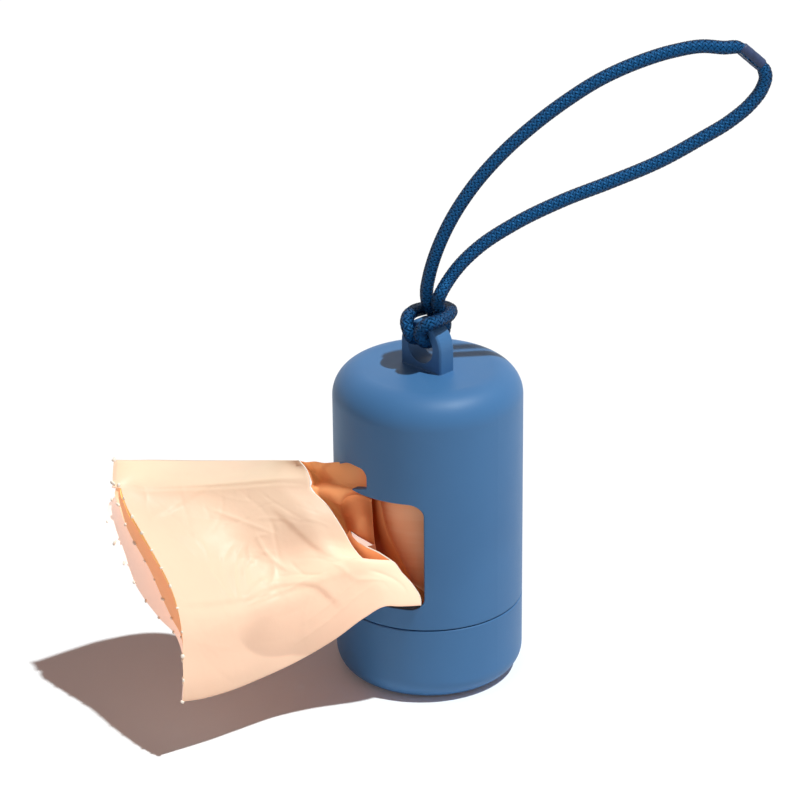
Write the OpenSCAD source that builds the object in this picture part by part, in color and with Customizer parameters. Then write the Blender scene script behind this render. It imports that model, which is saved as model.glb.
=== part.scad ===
// Pocket dispenser for rolled bags: a moulded housing on a push-on base cap, a roll of bags on
// its core, the leading bag drawn out of the stepped window, and a cord loop hitched to the lug.
// Millimetres, +Z up. The origin is the centre of the base cap's underside. The window faces -Y.

/* [Housing] */
// Outside diameter of the housing and the base cap
body_d = 45; // [42:0.5:60]
// Height of the flat top above the table
body_h = 78; // [74:1:110]
// Radius of the shoulder round the top
shoulder_r = 7; // [3:0.5:10]
// Wall of the housing tube
shell_wall = 1.8; // [1.4:0.1:2.2]
// Thickness of the housing's flat top
top_wall = 2; // [1.5:0.1:4]

/* [Window] */
// Width of the window across its chord
window_w = 29.6; // [24:0.2:32]
// Height of the window's lower edge above the table
window_z = 25; // [25:0.5:28]
// Height of the window's main opening
window_h = 27.4; // [22:0.2:30]
// Corner radius of the main opening
window_r = 3; // [1:0.25:4]
// How far the upper notch reaches to the right of the middle
notch_x = 1.7; // [0:0.1:6]
// Height of the notch above the main opening, at its right end
notch_h = 6.7; // [5:0.1:9]
// Corner radius of the notch
notch_r = 2.2; // [1:0.1:3]
// Width of the sloping part of the notch's upper edge
notch_slope_w = 10.2; // [8:0.1:12]
// Drop of the notch's upper edge towards the left
notch_drop = 5.4; // [3:0.1:5.5]
// Length of the pointed tongue between the notch and the main opening
tongue_l = 6; // [3:0.1:8]
// Thickness of the tongue at its root
tongue_t = 2; // [1.2:0.1:3]

/* [Lug] */
// Width of the lug
lug_w = 12.8; // [10:0.2:16]
// Thickness of the lug
lug_t = 4.8; // [3.5:0.1:6]
// Height of the lug's hole centre above the flat top
lug_hole_h = 5.5; // [5:0.1:9]
// Diameter of the lug's hole
lug_hole_d = 7.9; // [7.5:0.1:8.4]
// Chamfer along the lug's edges
lug_chamfer = 0.4; // [0.1:0.1:0.8]

/* [Base cap] */
// Height of the base cap, up to the seam
cap_h = 19.5; // [14:0.5:20]
// Radius of the round along the cap's foot
cap_foot_r = 5.7; // [3:0.1:8]
// Thickness of the cap's floor
cap_floor = 2; // [1.5:0.1:4]
// Radius of the corner inside the cap
cap_inner_r = 1; // [0.5:0.25:2]
// Height of the raised middle of the cap's floor, which the roll stands on
floor_step = 1.2; // [0.6:0.1:2]
// Radius of the raised middle of the cap's floor
floor_step_r = 13; // [10:0.5:15]
// Height of the spigot that pushes into the housing
spigot_h = 4.9; // [4:0.1:5.4]
// Wall of the spigot
spigot_wall = 1.4; // [1:0.1:2]
// Gap between the spigot and the housing's bore
spigot_clearance = 0.3; // [0.2:0.05:0.6]
// Gap left between the grip bead and the housing's bore
bead_clearance = 0.05; // [0.02:0.01:0.1]
// Radius of the half-round grip bead
bead_r = 0.6; // [0.4:0.1:1]
// Width of the open seam between the housing and the cap
seam_gap = 0.2; // [0.1:0.05:0.4]
// Chamfer on both sides of the seam
seam_chamfer = 0.2; // [0.1:0.05:0.5]

/* [Roll] */
// Outside diameter of the wound bags
roll_d = 34; // [28:0.5:36]
// Length of the roll, which is the folded width of a bag
roll_l = 60; // [56:0.5:62]
// Outside diameter of the card core
core_d = 13; // [11:0.5:16]
// Wall of the card core
core_wall = 0.9; // [0.6:0.1:1.5]
// How far the core stands in from each end of the roll
core_inset = 0.5; // [0:0.1:2]
// Gap between the roll's lower end and the raised floor
roll_seat = 0.3; // [0.2:0.1:0.8]
// Gap between the card core and the wound bags
core_clearance = 0.05; // [0.02:0.01:0.1]

/* [Pulled bag] */
// Thickness of the film's solid
film_t = 0.8; // [0.6:0.1:1.2]
// How far the open mouth's lower layer hangs from the upper one
mouth_gap = 9; // [4:0.5:12]
// Sag of the bag's lower edge
bag_sag = 4; // [0:0.5:6]
// Gap between pieces of film, and between the film and the roll
film_gap = 0.4; // [0.3:0.05:0.8]

/* [Cord] */
// Diameter of the elastic cord
cord_d = 3; // [2.6:0.1:3.1]
// Outside diameter of the crimped sleeve
crimp_d = 3.8; // [3.4:0.1:4.4]
// Length of the crimped sleeve
crimp_l = 6.4; // [5:0.2:8]

/* [Hidden] */

$fn = 96;
eps = 0.01;

body_r = body_d / 2;
bore_r = body_r - shell_wall;
shell_z = cap_h + seam_gap;
roof_z = body_h - top_wall;
spigot_r = bore_r - spigot_clearance;
cup_r = spigot_r - spigot_wall;
spigot_top = shell_z + spigot_h;
hole_z = body_h + lug_hole_h;
window_top = window_z + window_h;
roll_r = roll_d / 2;
roll_z = cap_floor + floor_step + roll_seat;

blue = [0.22, 0.38, 0.56];
navy = [0.05, 0.10, 0.25];
peach = [0.96, 0.76, 0.60];
card = [0.70, 0.55, 0.38];

// ---------- shared shapes ----------

// One corner of an outline, rounded to its own radius: points along the arc
function corner(before, at, after, r, steps = 8) =
    let (a = (before - at) / norm(before - at),
         b = (after - at) / norm(after - at),
         half = acos(a * b) / 2,
         centre = at + (a + b) / norm(a + b) * r / sin(half),
         from = at + a * r / tan(half) - centre,
         to = at + b * r / tan(half) - centre,
         turn = acos(max(-1, min(1, from * to / r / r))),
         side = from[0] * to[1] - from[1] * to[0] < 0 ? -1 : 1)
    [for (i = [0:steps])
        let (t = side * turn * i / steps)
        centre + [from[0] * cos(t) - from[1] * sin(t), from[0] * sin(t) + from[1] * cos(t)]];

// A closed outline whose corners are given as [x, y, radius]
function rounded(c) =
    let (n = len(c), p = [for (k = c) [k[0], k[1]]])
    [for (i = [0:n - 1]) each corner(p[(i + n - 1) % n], p[i], p[(i + 1) % n], c[i][2])];

// A half profile with one rounded outer corner, to be turned about Z
module round_cornered(r, low, high, fillet) {
    square_top = high - fillet;
    translate([0, low]) square([r, square_top - low]);
    translate([0, low]) square([r - fillet, high - low]);
    translate([r - fillet, square_top]) circle(fillet);
}

// A solid between two facing grids of points with the same rows and columns
module grid_solid(front, back) {
    rows = len(front);
    cols = len(front[0]);
    skin = rows * cols;
    function at(s, i, j) = s * skin + i * cols + j;
    polyhedron(
        points = concat([for (r = front) each r], [for (r = back) each r]),
        faces = concat(
            [for (i = [0:rows - 2], j = [0:cols - 2]) each
                [[at(0, i, j), at(0, i + 1, j), at(0, i + 1, j + 1)],
                 [at(0, i, j), at(0, i + 1, j + 1), at(0, i, j + 1)],
                 [at(1, i, j), at(1, i + 1, j + 1), at(1, i + 1, j)],
                 [at(1, i, j), at(1, i, j + 1), at(1, i + 1, j + 1)]]],
            [for (i = [0:rows - 2]) each
                [[at(0, i, 0), at(1, i, 0), at(1, i + 1, 0)],
                 [at(0, i, 0), at(1, i + 1, 0), at(0, i + 1, 0)],
                 [at(0, i, cols - 1), at(1, i + 1, cols - 1), at(1, i, cols - 1)],
                 [at(0, i, cols - 1), at(0, i + 1, cols - 1), at(1, i + 1, cols - 1)]]],
            [for (j = [0:cols - 2]) each
                [[at(0, 0, j), at(1, 0, j + 1), at(1, 0, j)],
                 [at(0, 0, j), at(0, 0, j + 1), at(1, 0, j + 1)],
                 [at(0, rows - 1, j), at(1, rows - 1, j), at(1, rows - 1, j + 1)],
                 [at(0, rows - 1, j), at(1, rows - 1, j + 1), at(0, rows - 1, j + 1)]]]));
}

// A point on the smooth curve through a list of points, t from 0 to 1
function along(p, t) =
    let (n = len(p) - 1,
         i = min(n - 1, floor(t * n)),
         f = t * n - i,
         a = p[max(0, i - 1)], b = p[i], c = p[i + 1], d = p[min(n, i + 2)])
    0.5 * (2 * b + (c - a) * f + (2 * a - 5 * b + 4 * c - d) * f * f
           + (3 * b - a - 3 * c + d) * f * f * f);

// A smooth route through hand-placed points, with a set number of rings
function route(p, rings) = [for (i = [0:rings]) along(p, i / rings)];

// The direction of a route at each of its points
function headings(p) =
    [for (i = [0:len(p) - 1])
        let (d = p[min(len(p) - 1, i + 1)] - p[max(0, i - 1)]) d / norm(d)];

// Sideways vectors carried along a route without twisting
function carried(dirs, side, i = 0) =
    i == len(dirs) ? [] :
    let (s = side - (side * dirs[i]) * dirs[i], unit = s / norm(s))
    concat([unit], carried(dirs, unit, i + 1));

// A round cord along a route, square to a given heading where it ends; a round start is half a
// ball centred on the first point, so that the cord can turn about it
module cord_tube(p, d, first_side, end_dir = undef, round_start = false, sides = 8) {
    free = headings(p);
    dirs = [for (i = [0:len(p) - 1]) i == len(p) - 1 && end_dir != undef ? end_dir : free[i]];
    across = carried(dirs, first_side);
    n = len(p);
    caps = round_start ? [20, 50] : [];
    rings = concat(
        [for (t = caps) [p[0] - dirs[0] * d / 2 * cos(t), d / 2 * sin(t), 0]],
        [for (i = [0:n - 1]) [p[i], d / 2, i]]);
    rim = [for (r = rings, k = [0:sides - 1])
        let (t = 360 * k / sides)
        r[0] + r[1] * (cos(t) * across[r[2]] + sin(t) * cross(dirs[r[2]], across[r[2]]))];
    last = len(rings) - 1;
    walls = [for (i = [0:last - 1], k = [0:sides - 1]) each
        let (a = i * sides + k, b = i * sides + (k + 1) % sides)
        [[a, b + sides, b], [a, a + sides, b + sides]]];
    ends = [[for (k = [0:sides - 1]) k], [for (k = [sides - 1:-1:0]) last * sides + k]];
    polyhedron(points = rim, faces = concat(walls, ends));
}

// ---------- housing ----------

// The window's outline seen from the front: a main opening, a pointed tongue and a sloping notch
window_outline = rounded([
    [-window_w / 2, window_z, window_r],
    [window_w / 2, window_z, window_r],
    [window_w / 2, window_top, window_r],
    [notch_x - tongue_l, window_top, 0.2],
    [notch_x, window_top + tongue_t, 0.5],
    [notch_x, window_top + notch_h, notch_r],
    [notch_slope_w - window_w / 2, window_top + notch_h, 8],
    [-window_w / 2, window_top + notch_h - notch_drop, 2.5]]);

// The lug's arched outline, held in from its edge by an inset
module lug_outline(inset) {
    translate([0, hole_z]) circle(lug_w / 2 - inset, $fn = 48);
    translate([inset - lug_w / 2, roof_z + top_wall / 2])
        square([lug_w - 2 * inset, hole_z - roof_z - top_wall / 2]);
}

// The lug before its hole is bored, with chamfered edges
module lug() {
    rotate([90, 0, 0]) hull() {
        linear_extrude(lug_t, center = true) lug_outline(lug_chamfer);
        linear_extrude(lug_t - 2 * lug_chamfer, center = true) lug_outline(0);
    }
}

module body_shell() color(blue) {
    difference() {
        union() {
            rotate_extrude() difference() {
                round_cornered(body_r, shell_z, body_h, shoulder_r);
                round_cornered(bore_r, shell_z - 1, roof_z, shoulder_r - shell_wall);
                translate([body_r, shell_z]) circle(seam_chamfer, $fn = 4);
            }
            lug();
        }
        rotate([90, 0, 0]) linear_extrude(body_r + 1) polygon(window_outline);
        translate([0, 0, hole_z]) rotate([90, 0, 0])
            cylinder(h = lug_t + 2, d = lug_hole_d, center = true);
    }
}

// ---------- base cap ----------

module base_cap() color(blue) rotate_extrude() {
    translate([0, cap_floor - eps]) square([floor_step_r, floor_step + eps]);
    difference() {
        union() {
            translate([0, cap_foot_r]) square([body_r, cap_h - cap_foot_r]);
            square([body_r - cap_foot_r, cap_h]);
            translate([body_r - cap_foot_r, cap_foot_r]) circle(cap_foot_r);
            translate([0, cap_h - eps]) square([spigot_r, spigot_top - cap_h + eps]);
            translate([bore_r - bead_clearance - bead_r, (shell_z + spigot_top) / 2])
                circle(bead_r);
        }
        translate([0, cap_floor + cap_inner_r]) square([cup_r, spigot_top]);
        translate([0, cap_floor]) square([cup_r - cap_inner_r, spigot_top]);
        translate([cup_r - cap_inner_r, cap_floor + cap_inner_r]) circle(cap_inner_r);
        translate([body_r, cap_h]) circle(seam_chamfer, $fn = 4);
    }
}

// ---------- roll ----------

module roll_core() color(card) translate([0, 0, roll_z + core_inset]) difference() {
    cylinder(h = roll_l - 2 * core_inset, d = core_d);
    translate([0, 0, -1]) cylinder(h = roll_l + 2, d = core_d - 2 * core_wall);
}

module bag_roll() color(peach) translate([0, 0, roll_z]) difference() {
    cylinder(h = roll_l, r = roll_r);
    translate([0, 0, -1]) cylinder(h = roll_l + 2, r = core_d / 2 + core_clearance);
}

// ---------- film ----------

// Points of the film: across from the middle, out in front of the housing, above the window's
// lower edge
function before_window(p) = [for (k = p) [k[0], -body_r - k[1], window_z + k[2]]];
// Where the film folds over outside the window, from its upper end to the window's lower corner
fold_line = before_window([[-17, 4, 32], [-13.5, 3.5, 25.5], [-5.5, 3, 18.5], [2.5, 2.5, 12],
                           [9.5, -1, 7.5], [13, -4.3, 2]]);
// The torn edge at the bag's open end, from its upper corner to its lower one
torn_edge = before_window([[-48, 34.5, 33], [-35, 39, 21], [-25.5, 41, 15], [-16.5, 43.5, 7],
                           [-11.5, 47, -2], [-7.5, 51.5, -9.5]]);
// Where the film leaves the roll: the angle round the roll, and the height above the window's
// lower edge
leave_points = [[0, 23], [1, 20], [3, 16], [9, 11], [22, 6.5], [36, 3.5]];
// The direction from the upper layer of film to the lower one
film_back = [-0.56, 0.42, -0.71];

film_rows = 12;
film_cols = 10;

// The line along which the film leaves the roll
leave_line = [for (p = leave_points)
    let (r = roll_r + film_gap + film_t)
    [r * sin(p[0]), -r * cos(p[0]), window_z + p[1]]];

// The upper layer of the pulled bag: u from the fold to the torn edge, v from top to bottom
function bag_front(u, v) =
    along(fold_line, v) * (1 - u) + along(torn_edge, v) * u - [0, 0, bag_sag * v * sin(180 * u)];

// The lower layer: close behind the upper one, and hanging open at the torn edge
function bag_back(u, v) =
    bag_front(u, v) + film_back * (film_t + mouth_gap * u * u * sin(180 * v));

module pulled_bag() color(peach) grid_solid(
    [for (i = [0:film_rows]) [for (j = [0:film_cols]) bag_front(i / film_rows, j / film_cols)]],
    [for (i = [0:film_rows]) [for (j = [0:film_cols]) bag_back(i / film_rows, j / film_cols)]]);

// The film between the roll and the fold, u from the roll outwards
function lead_front(u, v) =
    let (start = along(leave_line, v), run = along(fold_line, v) - start)
    start + run * u * (1 - film_gap / norm(run));
function lead_back(u, v) =
    let (out = along(fold_line, v) - along(leave_line, v), flat = [out[1], -out[0], 0])
    lead_front(u, v) - film_t * flat / norm(flat);

lead_rows = 4;

module film_lead() color(peach) grid_solid(
    [for (i = [0:lead_rows]) [for (j = [0:film_cols]) lead_front(i / lead_rows, j / film_cols)]],
    [for (i = [0:lead_rows]) [for (j = [0:film_cols]) lead_back(i / lead_rows, j / film_cols)]]);

// ---------- cord ----------

// Half of the cow hitch: down behind the lug, out through the hole, up in front and over the top
hitch_half = [[1.6, 1.5, 94.2], [1.6, 2.1, 92.9], [1.7, 3.6, 91.2], [1.7, 4.2, 89.4],
              [1.7, 4.2, 87.4], [1.75, 3.6, 85.8], [1.75, 2.2, 85], [1.75, 0, 84.9],
              [1.8, -2.3, 84.9], [2, -3.9, 85.9], [2.5, -4.3, 87.8], [3.5, -4, 89.9],
              [4.6, -1.8, 91], [5, 1.2, 91.5], [5, 4.2, 92.1], [3.3, 6.4, 92.7]];
hitch_middle = [0, 7.1, 92.9];
// The line across the knot about which the loop swings; both runs of the loop start on it
knot_top = [0, 1.5, 96.1];
knot_half = 1.6;
// The loop lies in an upright plane turned this far from +X
loop_turn = 45;
// The two runs of the loop from the knot: reach, height above the knot, offset out of the plane
upper_run = [[-0.5, 3.5, -0.8], [0.9, 8, -0.3], [4, 16.5, 0], [9.4, 26.5, 0], [15.7, 34.3, 0],
             [22.5, 41, 0], [30, 47, 0], [38, 52, 0], [46.5, 56, 0], [54.5, 58.3, 0],
             [62, 59.4, 0], [67, 59.2, 0]];
lower_run = [[2.6, 3.5, 0.9], [5.8, 7.5, 0.4], [10.5, 11.6, 0], [18.5, 16.7, 0], [30, 23, 0],
             [41, 27.4, 0], [52.5, 32.6, 0], [60.8, 37.6, 0], [68, 41.7, 0], [72.6, 45, 0],
             [75.4, 48.6, 0], [76, 51.5, 0]];
// Middle of the crimped sleeve, and how steeply it points down
crimp_middle = [72.4, 56.2, 0];
crimp_tilt = 41;

function mirrored(p) = [for (i = [len(p) - 1:-1:0]) [-p[i][0], p[i][1], p[i][2]]];
function turned(p) =
    [p[0] * cos(loop_turn) + p[2] * sin(loop_turn),
     p[0] * sin(loop_turn) - p[2] * cos(loop_turn), p[1]];
function in_loop(p) = knot_top + turned(p);

hitch_points = concat(hitch_half, [hitch_middle], mirrored(hitch_half));
crimp_dir = [cos(crimp_tilt), -sin(crimp_tilt), 0];
crimp_from = in_loop(crimp_middle - crimp_dir * crimp_l / 2);
crimp_to = in_loop(crimp_middle + crimp_dir * crimp_l / 2);
loop_side = turned([0, 0, 1]);

module cord_hitch() color(navy)
    cord_tube(route(hitch_points, 50), cord_d, [1, 0, 0], end_dir = [0, 0, 1]);

// One run of the loop, from the knot to its end in the crimped sleeve
module loop_run(side, points, end, end_dir) color(navy)
    cord_tube(route(concat([knot_top + [side * knot_half, 0, 0]],
                           [for (p = points) in_loop(p)], [end]), 26),
              cord_d, loop_side, end_dir, round_start = true);

module cord_upper() loop_run(-1, upper_run, crimp_from, turned(crimp_dir));

module cord_lower() loop_run(1, lower_run, crimp_to, -turned(crimp_dir));

module cord_crimp() color(navy)
    translate(crimp_from) rotate([0, 90 + crimp_tilt, loop_turn])
        cylinder(h = crimp_l, d = crimp_d, $fn = 32);

base_cap();
body_shell();
roll_core();
bag_roll();
film_lead();
pulled_bag();
cord_hitch();
cord_upper();
cord_lower();
cord_crimp();
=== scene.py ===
"""Dresses the pocket dispenser for rolled bags: housing, cap, roll, drawn-out bag and cord loop.

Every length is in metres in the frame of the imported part. Points along the cord and round the
film are written in millimetres and go through `mm()`. Places on a sheet of film are given as
(u, v) from 0 to 1, and a span is a pair of values, from and to.
"""

from __future__ import annotations

import logging
import math
from collections.abc import Iterator, Sequence
from contextlib import contextmanager
from dataclasses import dataclass, field
from enum import Enum

import bmesh
import bpy
import numpy as np
from mathutils import Matrix, Vector


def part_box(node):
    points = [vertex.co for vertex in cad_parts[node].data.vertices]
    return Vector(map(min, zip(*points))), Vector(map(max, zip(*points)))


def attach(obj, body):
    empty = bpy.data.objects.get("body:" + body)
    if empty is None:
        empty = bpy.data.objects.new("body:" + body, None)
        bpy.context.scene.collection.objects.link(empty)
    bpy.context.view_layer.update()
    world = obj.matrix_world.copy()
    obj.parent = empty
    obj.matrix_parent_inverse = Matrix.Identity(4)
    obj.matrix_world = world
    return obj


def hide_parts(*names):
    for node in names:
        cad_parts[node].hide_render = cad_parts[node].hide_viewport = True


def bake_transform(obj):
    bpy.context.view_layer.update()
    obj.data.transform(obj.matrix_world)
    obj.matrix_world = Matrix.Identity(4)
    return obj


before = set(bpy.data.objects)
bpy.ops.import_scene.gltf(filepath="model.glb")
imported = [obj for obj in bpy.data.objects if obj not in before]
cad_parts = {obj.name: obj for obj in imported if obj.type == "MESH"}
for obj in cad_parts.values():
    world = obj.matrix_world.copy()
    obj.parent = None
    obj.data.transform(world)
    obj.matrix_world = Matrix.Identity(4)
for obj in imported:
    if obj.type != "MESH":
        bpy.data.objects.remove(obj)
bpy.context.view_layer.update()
LOG = logging.getLogger("dispenser")
MM = 0.001

Colour = tuple[float, float, float]
Point = tuple[float, float, float]
Span = tuple[float, float]
Points = np.ndarray
Part = tuple[np.ndarray, np.ndarray]
Piece = bpy.types.Object
Material = bpy.types.Material
Socket = bpy.types.NodeSocket


class Body(str, Enum):
    """The bodies that pieces ride on."""

    HOUSING = "housing"
    ROLL = "roll"
    BAG = "bag"
    LOOP = "loop"


class Slot(str, Enum):
    """The record's material slots."""

    WOUND = "wound_film"
    FILM = "bag_film"
    CORD = "elastic_cord"
    CRIMP = "crimp_metal"


# ---------------------------------------------------------------- numbers and curves


def mm(points: Sequence[Sequence[float]] | Points) -> Points:
    """Turns millimetres into metres, as an array."""
    return np.asarray(points, float) * MM


def unit(vectors: Points) -> Points:
    """Scales each vector to length 1."""
    return vectors / np.linalg.norm(vectors, axis=-1, keepdims=True)


def scaled(amounts: Points, vectors: Points) -> Points:
    """Multiplies each vector by its own amount."""
    return amounts[..., None] * vectors


def lighter(colour: Colour, gain: float, lift: float) -> Colour:
    """A colour scaled and lifted, at most white."""
    return tuple(min(1.0, gain * c + lift) for c in colour)


def lengths_along(points: Points) -> Points:
    """The distance along a polyline at each of its points."""
    return np.r_[0.0, np.cumsum(np.linalg.norm(np.diff(points, axis=0), axis=1))]


def curve_through(points: Points, places: Points) -> Points:
    """A smooth curve through unevenly spaced points.

    Args:
        points: The points, one row each.
        places: Where to read the curve, from 0 to 1 of its chord length.

    Returns:
        One row per place.
    """
    knots = lengths_along(points)
    steps = np.diff(knots)
    slopes = np.diff(points, axis=0) / steps[:, None]
    tangents = np.empty_like(points)
    tangents[0], tangents[-1] = slopes[0], slopes[-1]
    before, after = steps[:-1, None], steps[1:, None]
    tangents[1:-1] = (slopes[:-1] * after + slopes[1:] * before) / (before + after)
    at = np.clip(places, 0, 1) * knots[-1]
    i = np.clip(np.searchsorted(knots, at, side="right") - 1, 0, len(steps) - 1)
    h = steps[i][:, None]
    f = ((at - knots[i]) / steps[i])[:, None]
    return (
        points[i] * (2 * f**3 - 3 * f**2 + 1)
        + points[i + 1] * (3 * f**2 - 2 * f**3)
        + tangents[i] * h * (f**3 - 2 * f**2 + f)
        + tangents[i + 1] * h * (f**3 - f**2)
    )


def evenly(points: Points, count: int) -> Points:
    """Reads a dense polyline again at equal steps along it.

    Args:
        points: The polyline.
        count: How many points to read.

    Returns:
        The new points.
    """
    along = lengths_along(points)
    at = np.linspace(0, along[-1], count)
    return np.stack([np.interp(at, along, points[:, k]) for k in range(3)], axis=1)


def bunched(count: int, share: float) -> Points:
    """Places from 0 to 1 that lie closer together towards both ends."""
    even = np.linspace(0, 1, count)
    return (1 - share) * even + share * (0.5 - 0.5 * np.cos(math.pi * even))


def spline_weights(count: int, size: int) -> Points:
    """Weights that turn some control rows into a smooth row of many samples.

    Args:
        count: How many samples to make.
        size: How many control rows there are.

    Returns:
        One row of weights per sample.
    """
    at = np.linspace(0, size - 1, count)
    i = np.clip(at.astype(int), 0, size - 2)
    f = at - i
    parts = (
        -0.5 * f + f**2 - 0.5 * f**3,
        1 - 2.5 * f**2 + 1.5 * f**3,
        0.5 * f + 2 * f**2 - 1.5 * f**3,
        -0.5 * f**2 + 0.5 * f**3,
    )
    weights = np.zeros((count, size))
    for k, part in enumerate(parts):
        np.add.at(weights, (np.arange(count), np.clip(i + k - 1, 0, size - 1)), part)
    return weights


def carried_frames(line: Points, first_side: Point) -> tuple[Points, Points, Points]:
    """Directions carried along a line without twisting.

    Args:
        line: The line's points.
        first_side: A sideways direction at its start.

    Returns:
        The tangent, side and lift at each point.
    """
    tangents = unit(np.gradient(line, axis=0))
    sides = np.empty_like(line)
    side = np.array(first_side, float)
    for i, tangent in enumerate(tangents):
        side = side - (side @ tangent) * tangent
        side /= np.linalg.norm(side)
        sides[i] = side
    return tangents, sides, np.cross(tangents, sides)


def smoothstep(low: float, high: float, value: Points | float) -> Points | float:
    """0 below low, 1 above high and smooth between them."""
    share = np.clip((value - low) / (high - low), 0, 1)
    return share * share * (3 - 2 * share)


def within(places: Points, first: Span, last: Span) -> Points:
    """0 at both ends of a run from 0 to 1 and 1 inside it.

    Args:
        places: Places along the run.
        first: The span over which it rises, from the start.
        last: The span over which it falls, from the end.

    Returns:
        The share at each place.
    """
    return smoothstep(*first, places) * smoothstep(*last, 1 - places)


def normals_of(sheet: Points) -> Points:
    """The upward side's normal at each point of a grid."""
    return unit(np.cross(np.gradient(sheet, axis=0), np.gradient(sheet, axis=1)))


# ---------------------------------------------------------------- meshes


def placed(name: str, data: bpy.types.ID | None) -> Piece:
    """Makes an object at the origin and puts it into the scene.

    Args:
        name: Its name.
        data: Its mesh, lamp or camera.

    Returns:
        The object.
    """
    made = bpy.data.objects.new(name, data)
    bpy.context.scene.collection.objects.link(made)
    return made


def smoothed(mesh: bpy.types.Mesh) -> None:
    """Shades a mesh smooth."""
    mesh.polygons.foreach_set("use_smooth", [True] * len(mesh.polygons))


def mesh_piece(
    name: str, points: Points, faces: Sequence[Sequence[int]], material: Material
) -> Piece:
    """Makes a smooth mesh object at the origin.

    Args:
        name: The piece's name.
        points: Its vertices.
        faces: Its faces, as vertex numbers.
        material: Its finish.

    Returns:
        The new object.
    """
    mesh = bpy.data.meshes.new(name)
    mesh.from_pydata([tuple(p) for p in points], [], [tuple(f) for f in faces])
    mesh.update()
    mesh.materials.append(material)
    smoothed(mesh)
    return placed(name, mesh)


def joined(parts: Sequence[Part]) -> Part:
    """Puts several meshes into one, each given as its points and its vertex numbers.

    Args:
        parts: The meshes.

    Returns:
        The points and the vertex numbers of the whole.
    """
    firsts = np.cumsum([0, *(len(points) for points, _ in parts)])
    numbers = [own + first for (_, own), first in zip(parts, firsts)]
    return np.concatenate([points for points, _ in parts]), np.concatenate(numbers)


def polylines(name: str, lines: Sequence[Points]) -> Piece:
    """Makes an object of plain edges that follow some lines.

    Args:
        name: Its name.
        lines: The points of each line.

    Returns:
        The object.
    """
    steps = [np.arange(len(line) - 1)[:, None] + (0, 1) for line in lines]
    points, pairs = joined(list(zip(lines, steps)))
    mesh = bpy.data.meshes.new(name)
    mesh.from_pydata(points.tolist(), pairs.tolist(), [])
    return placed(name, mesh)


def grid_faces(rows: int, columns: int, wrap: bool = False) -> Points:
    """Quads over a grid of points stored row by row.

    Args:
        rows: Rows of points.
        columns: Points in a row.
        wrap: Whether each row closes on itself.

    Returns:
        One row of four vertex numbers per quad.
    """
    i, j = np.meshgrid(
        np.arange(rows - 1), np.arange(columns if wrap else columns - 1), indexing="ij"
    )
    a = (i * columns + j).ravel()
    b = (i * columns + (j + 1) % columns).ravel()
    return np.stack([a, b, b + columns, a + columns], axis=1)


def set_uv(piece: Piece, per_vertex: Points) -> None:
    """Gives a piece a UV map from one (u, v) per vertex.

    Args:
        piece: The piece.
        per_vertex: One row per vertex.
    """
    mesh = piece.data
    layer = mesh.uv_layers.new(name="UVMap")
    loops = np.empty(len(mesh.loops), np.int64)
    mesh.loops.foreach_get("vertex_index", loops)
    layer.data.foreach_set("uv", per_vertex[loops].astype(np.float32).ravel())


def set_share(piece: Piece, name: str, values: Points) -> None:
    """Stores one number per vertex, for a material to read."""
    attribute = piece.data.attributes.new(name, "FLOAT", "POINT")
    attribute.data.foreach_set("value", values.astype(np.float32).ravel())


def baked(source: Piece, name: str) -> Piece:
    """Replaces an object and its modifiers with one plain mesh object.

    Args:
        source: The object, which is removed.
        name: The new object's name.

    Returns:
        The new object.
    """
    graph = bpy.context.evaluated_depsgraph_get()
    mesh = bpy.data.meshes.new_from_object(source.evaluated_get(graph), depsgraph=graph)
    bpy.data.objects.remove(source)
    mesh.name = name
    return placed(name, mesh)


@contextmanager
def opened(piece: Piece) -> Iterator[bmesh.types.BMesh]:
    """Opens a piece's mesh for an edit and writes it back.

    Args:
        piece: The piece.

    Returns:
        The mesh to edit, as the value of a with block.
    """
    work = bmesh.new()
    work.from_mesh(piece.data)
    yield work
    work.to_mesh(piece.data)
    work.free()


def merged(piece: Piece, distance: float) -> None:
    """Merges a piece's coinciding vertices and drops faces that vanish."""
    with opened(piece) as work:
        bmesh.ops.remove_doubles(work, verts=work.verts, dist=distance)
        bmesh.ops.dissolve_degenerate(work, edges=work.edges, dist=distance * 0.1)


def recalculated(piece: Piece) -> None:
    """Points a closed piece's faces outwards."""
    with opened(piece) as work:
        bmesh.ops.recalc_face_normals(work, faces=work.faces)


def sharpen(piece: Piece, angle: float) -> None:
    """Shades a piece smooth but for edges sharper than an angle in degrees."""
    smoothed(piece.data)
    piece.data.set_sharp_from_angle(angle=math.radians(angle))


def dress(node: Piece, material: Material) -> None:
    """Gives a CAD node a finish."""
    node.data.materials.clear()
    node.data.materials.append(material)


def settle(piece: Piece, body: Body, slot: Slot, *nodes: str) -> Piece:
    """Puts a finished piece on its body.

    Args:
        piece: The piece.
        body: The body it rides on.
        slot: A material slot of the record, not used.
        *nodes: CAD nodes that it stands for.

    Returns:
        The piece.
    """
    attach(piece, body.value)
    if nodes:
        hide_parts(*nodes)
    LOG.info("%s rides on %s", piece.name, body.value)
    return piece


# ---------------------------------------------------------------- node trees


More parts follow.
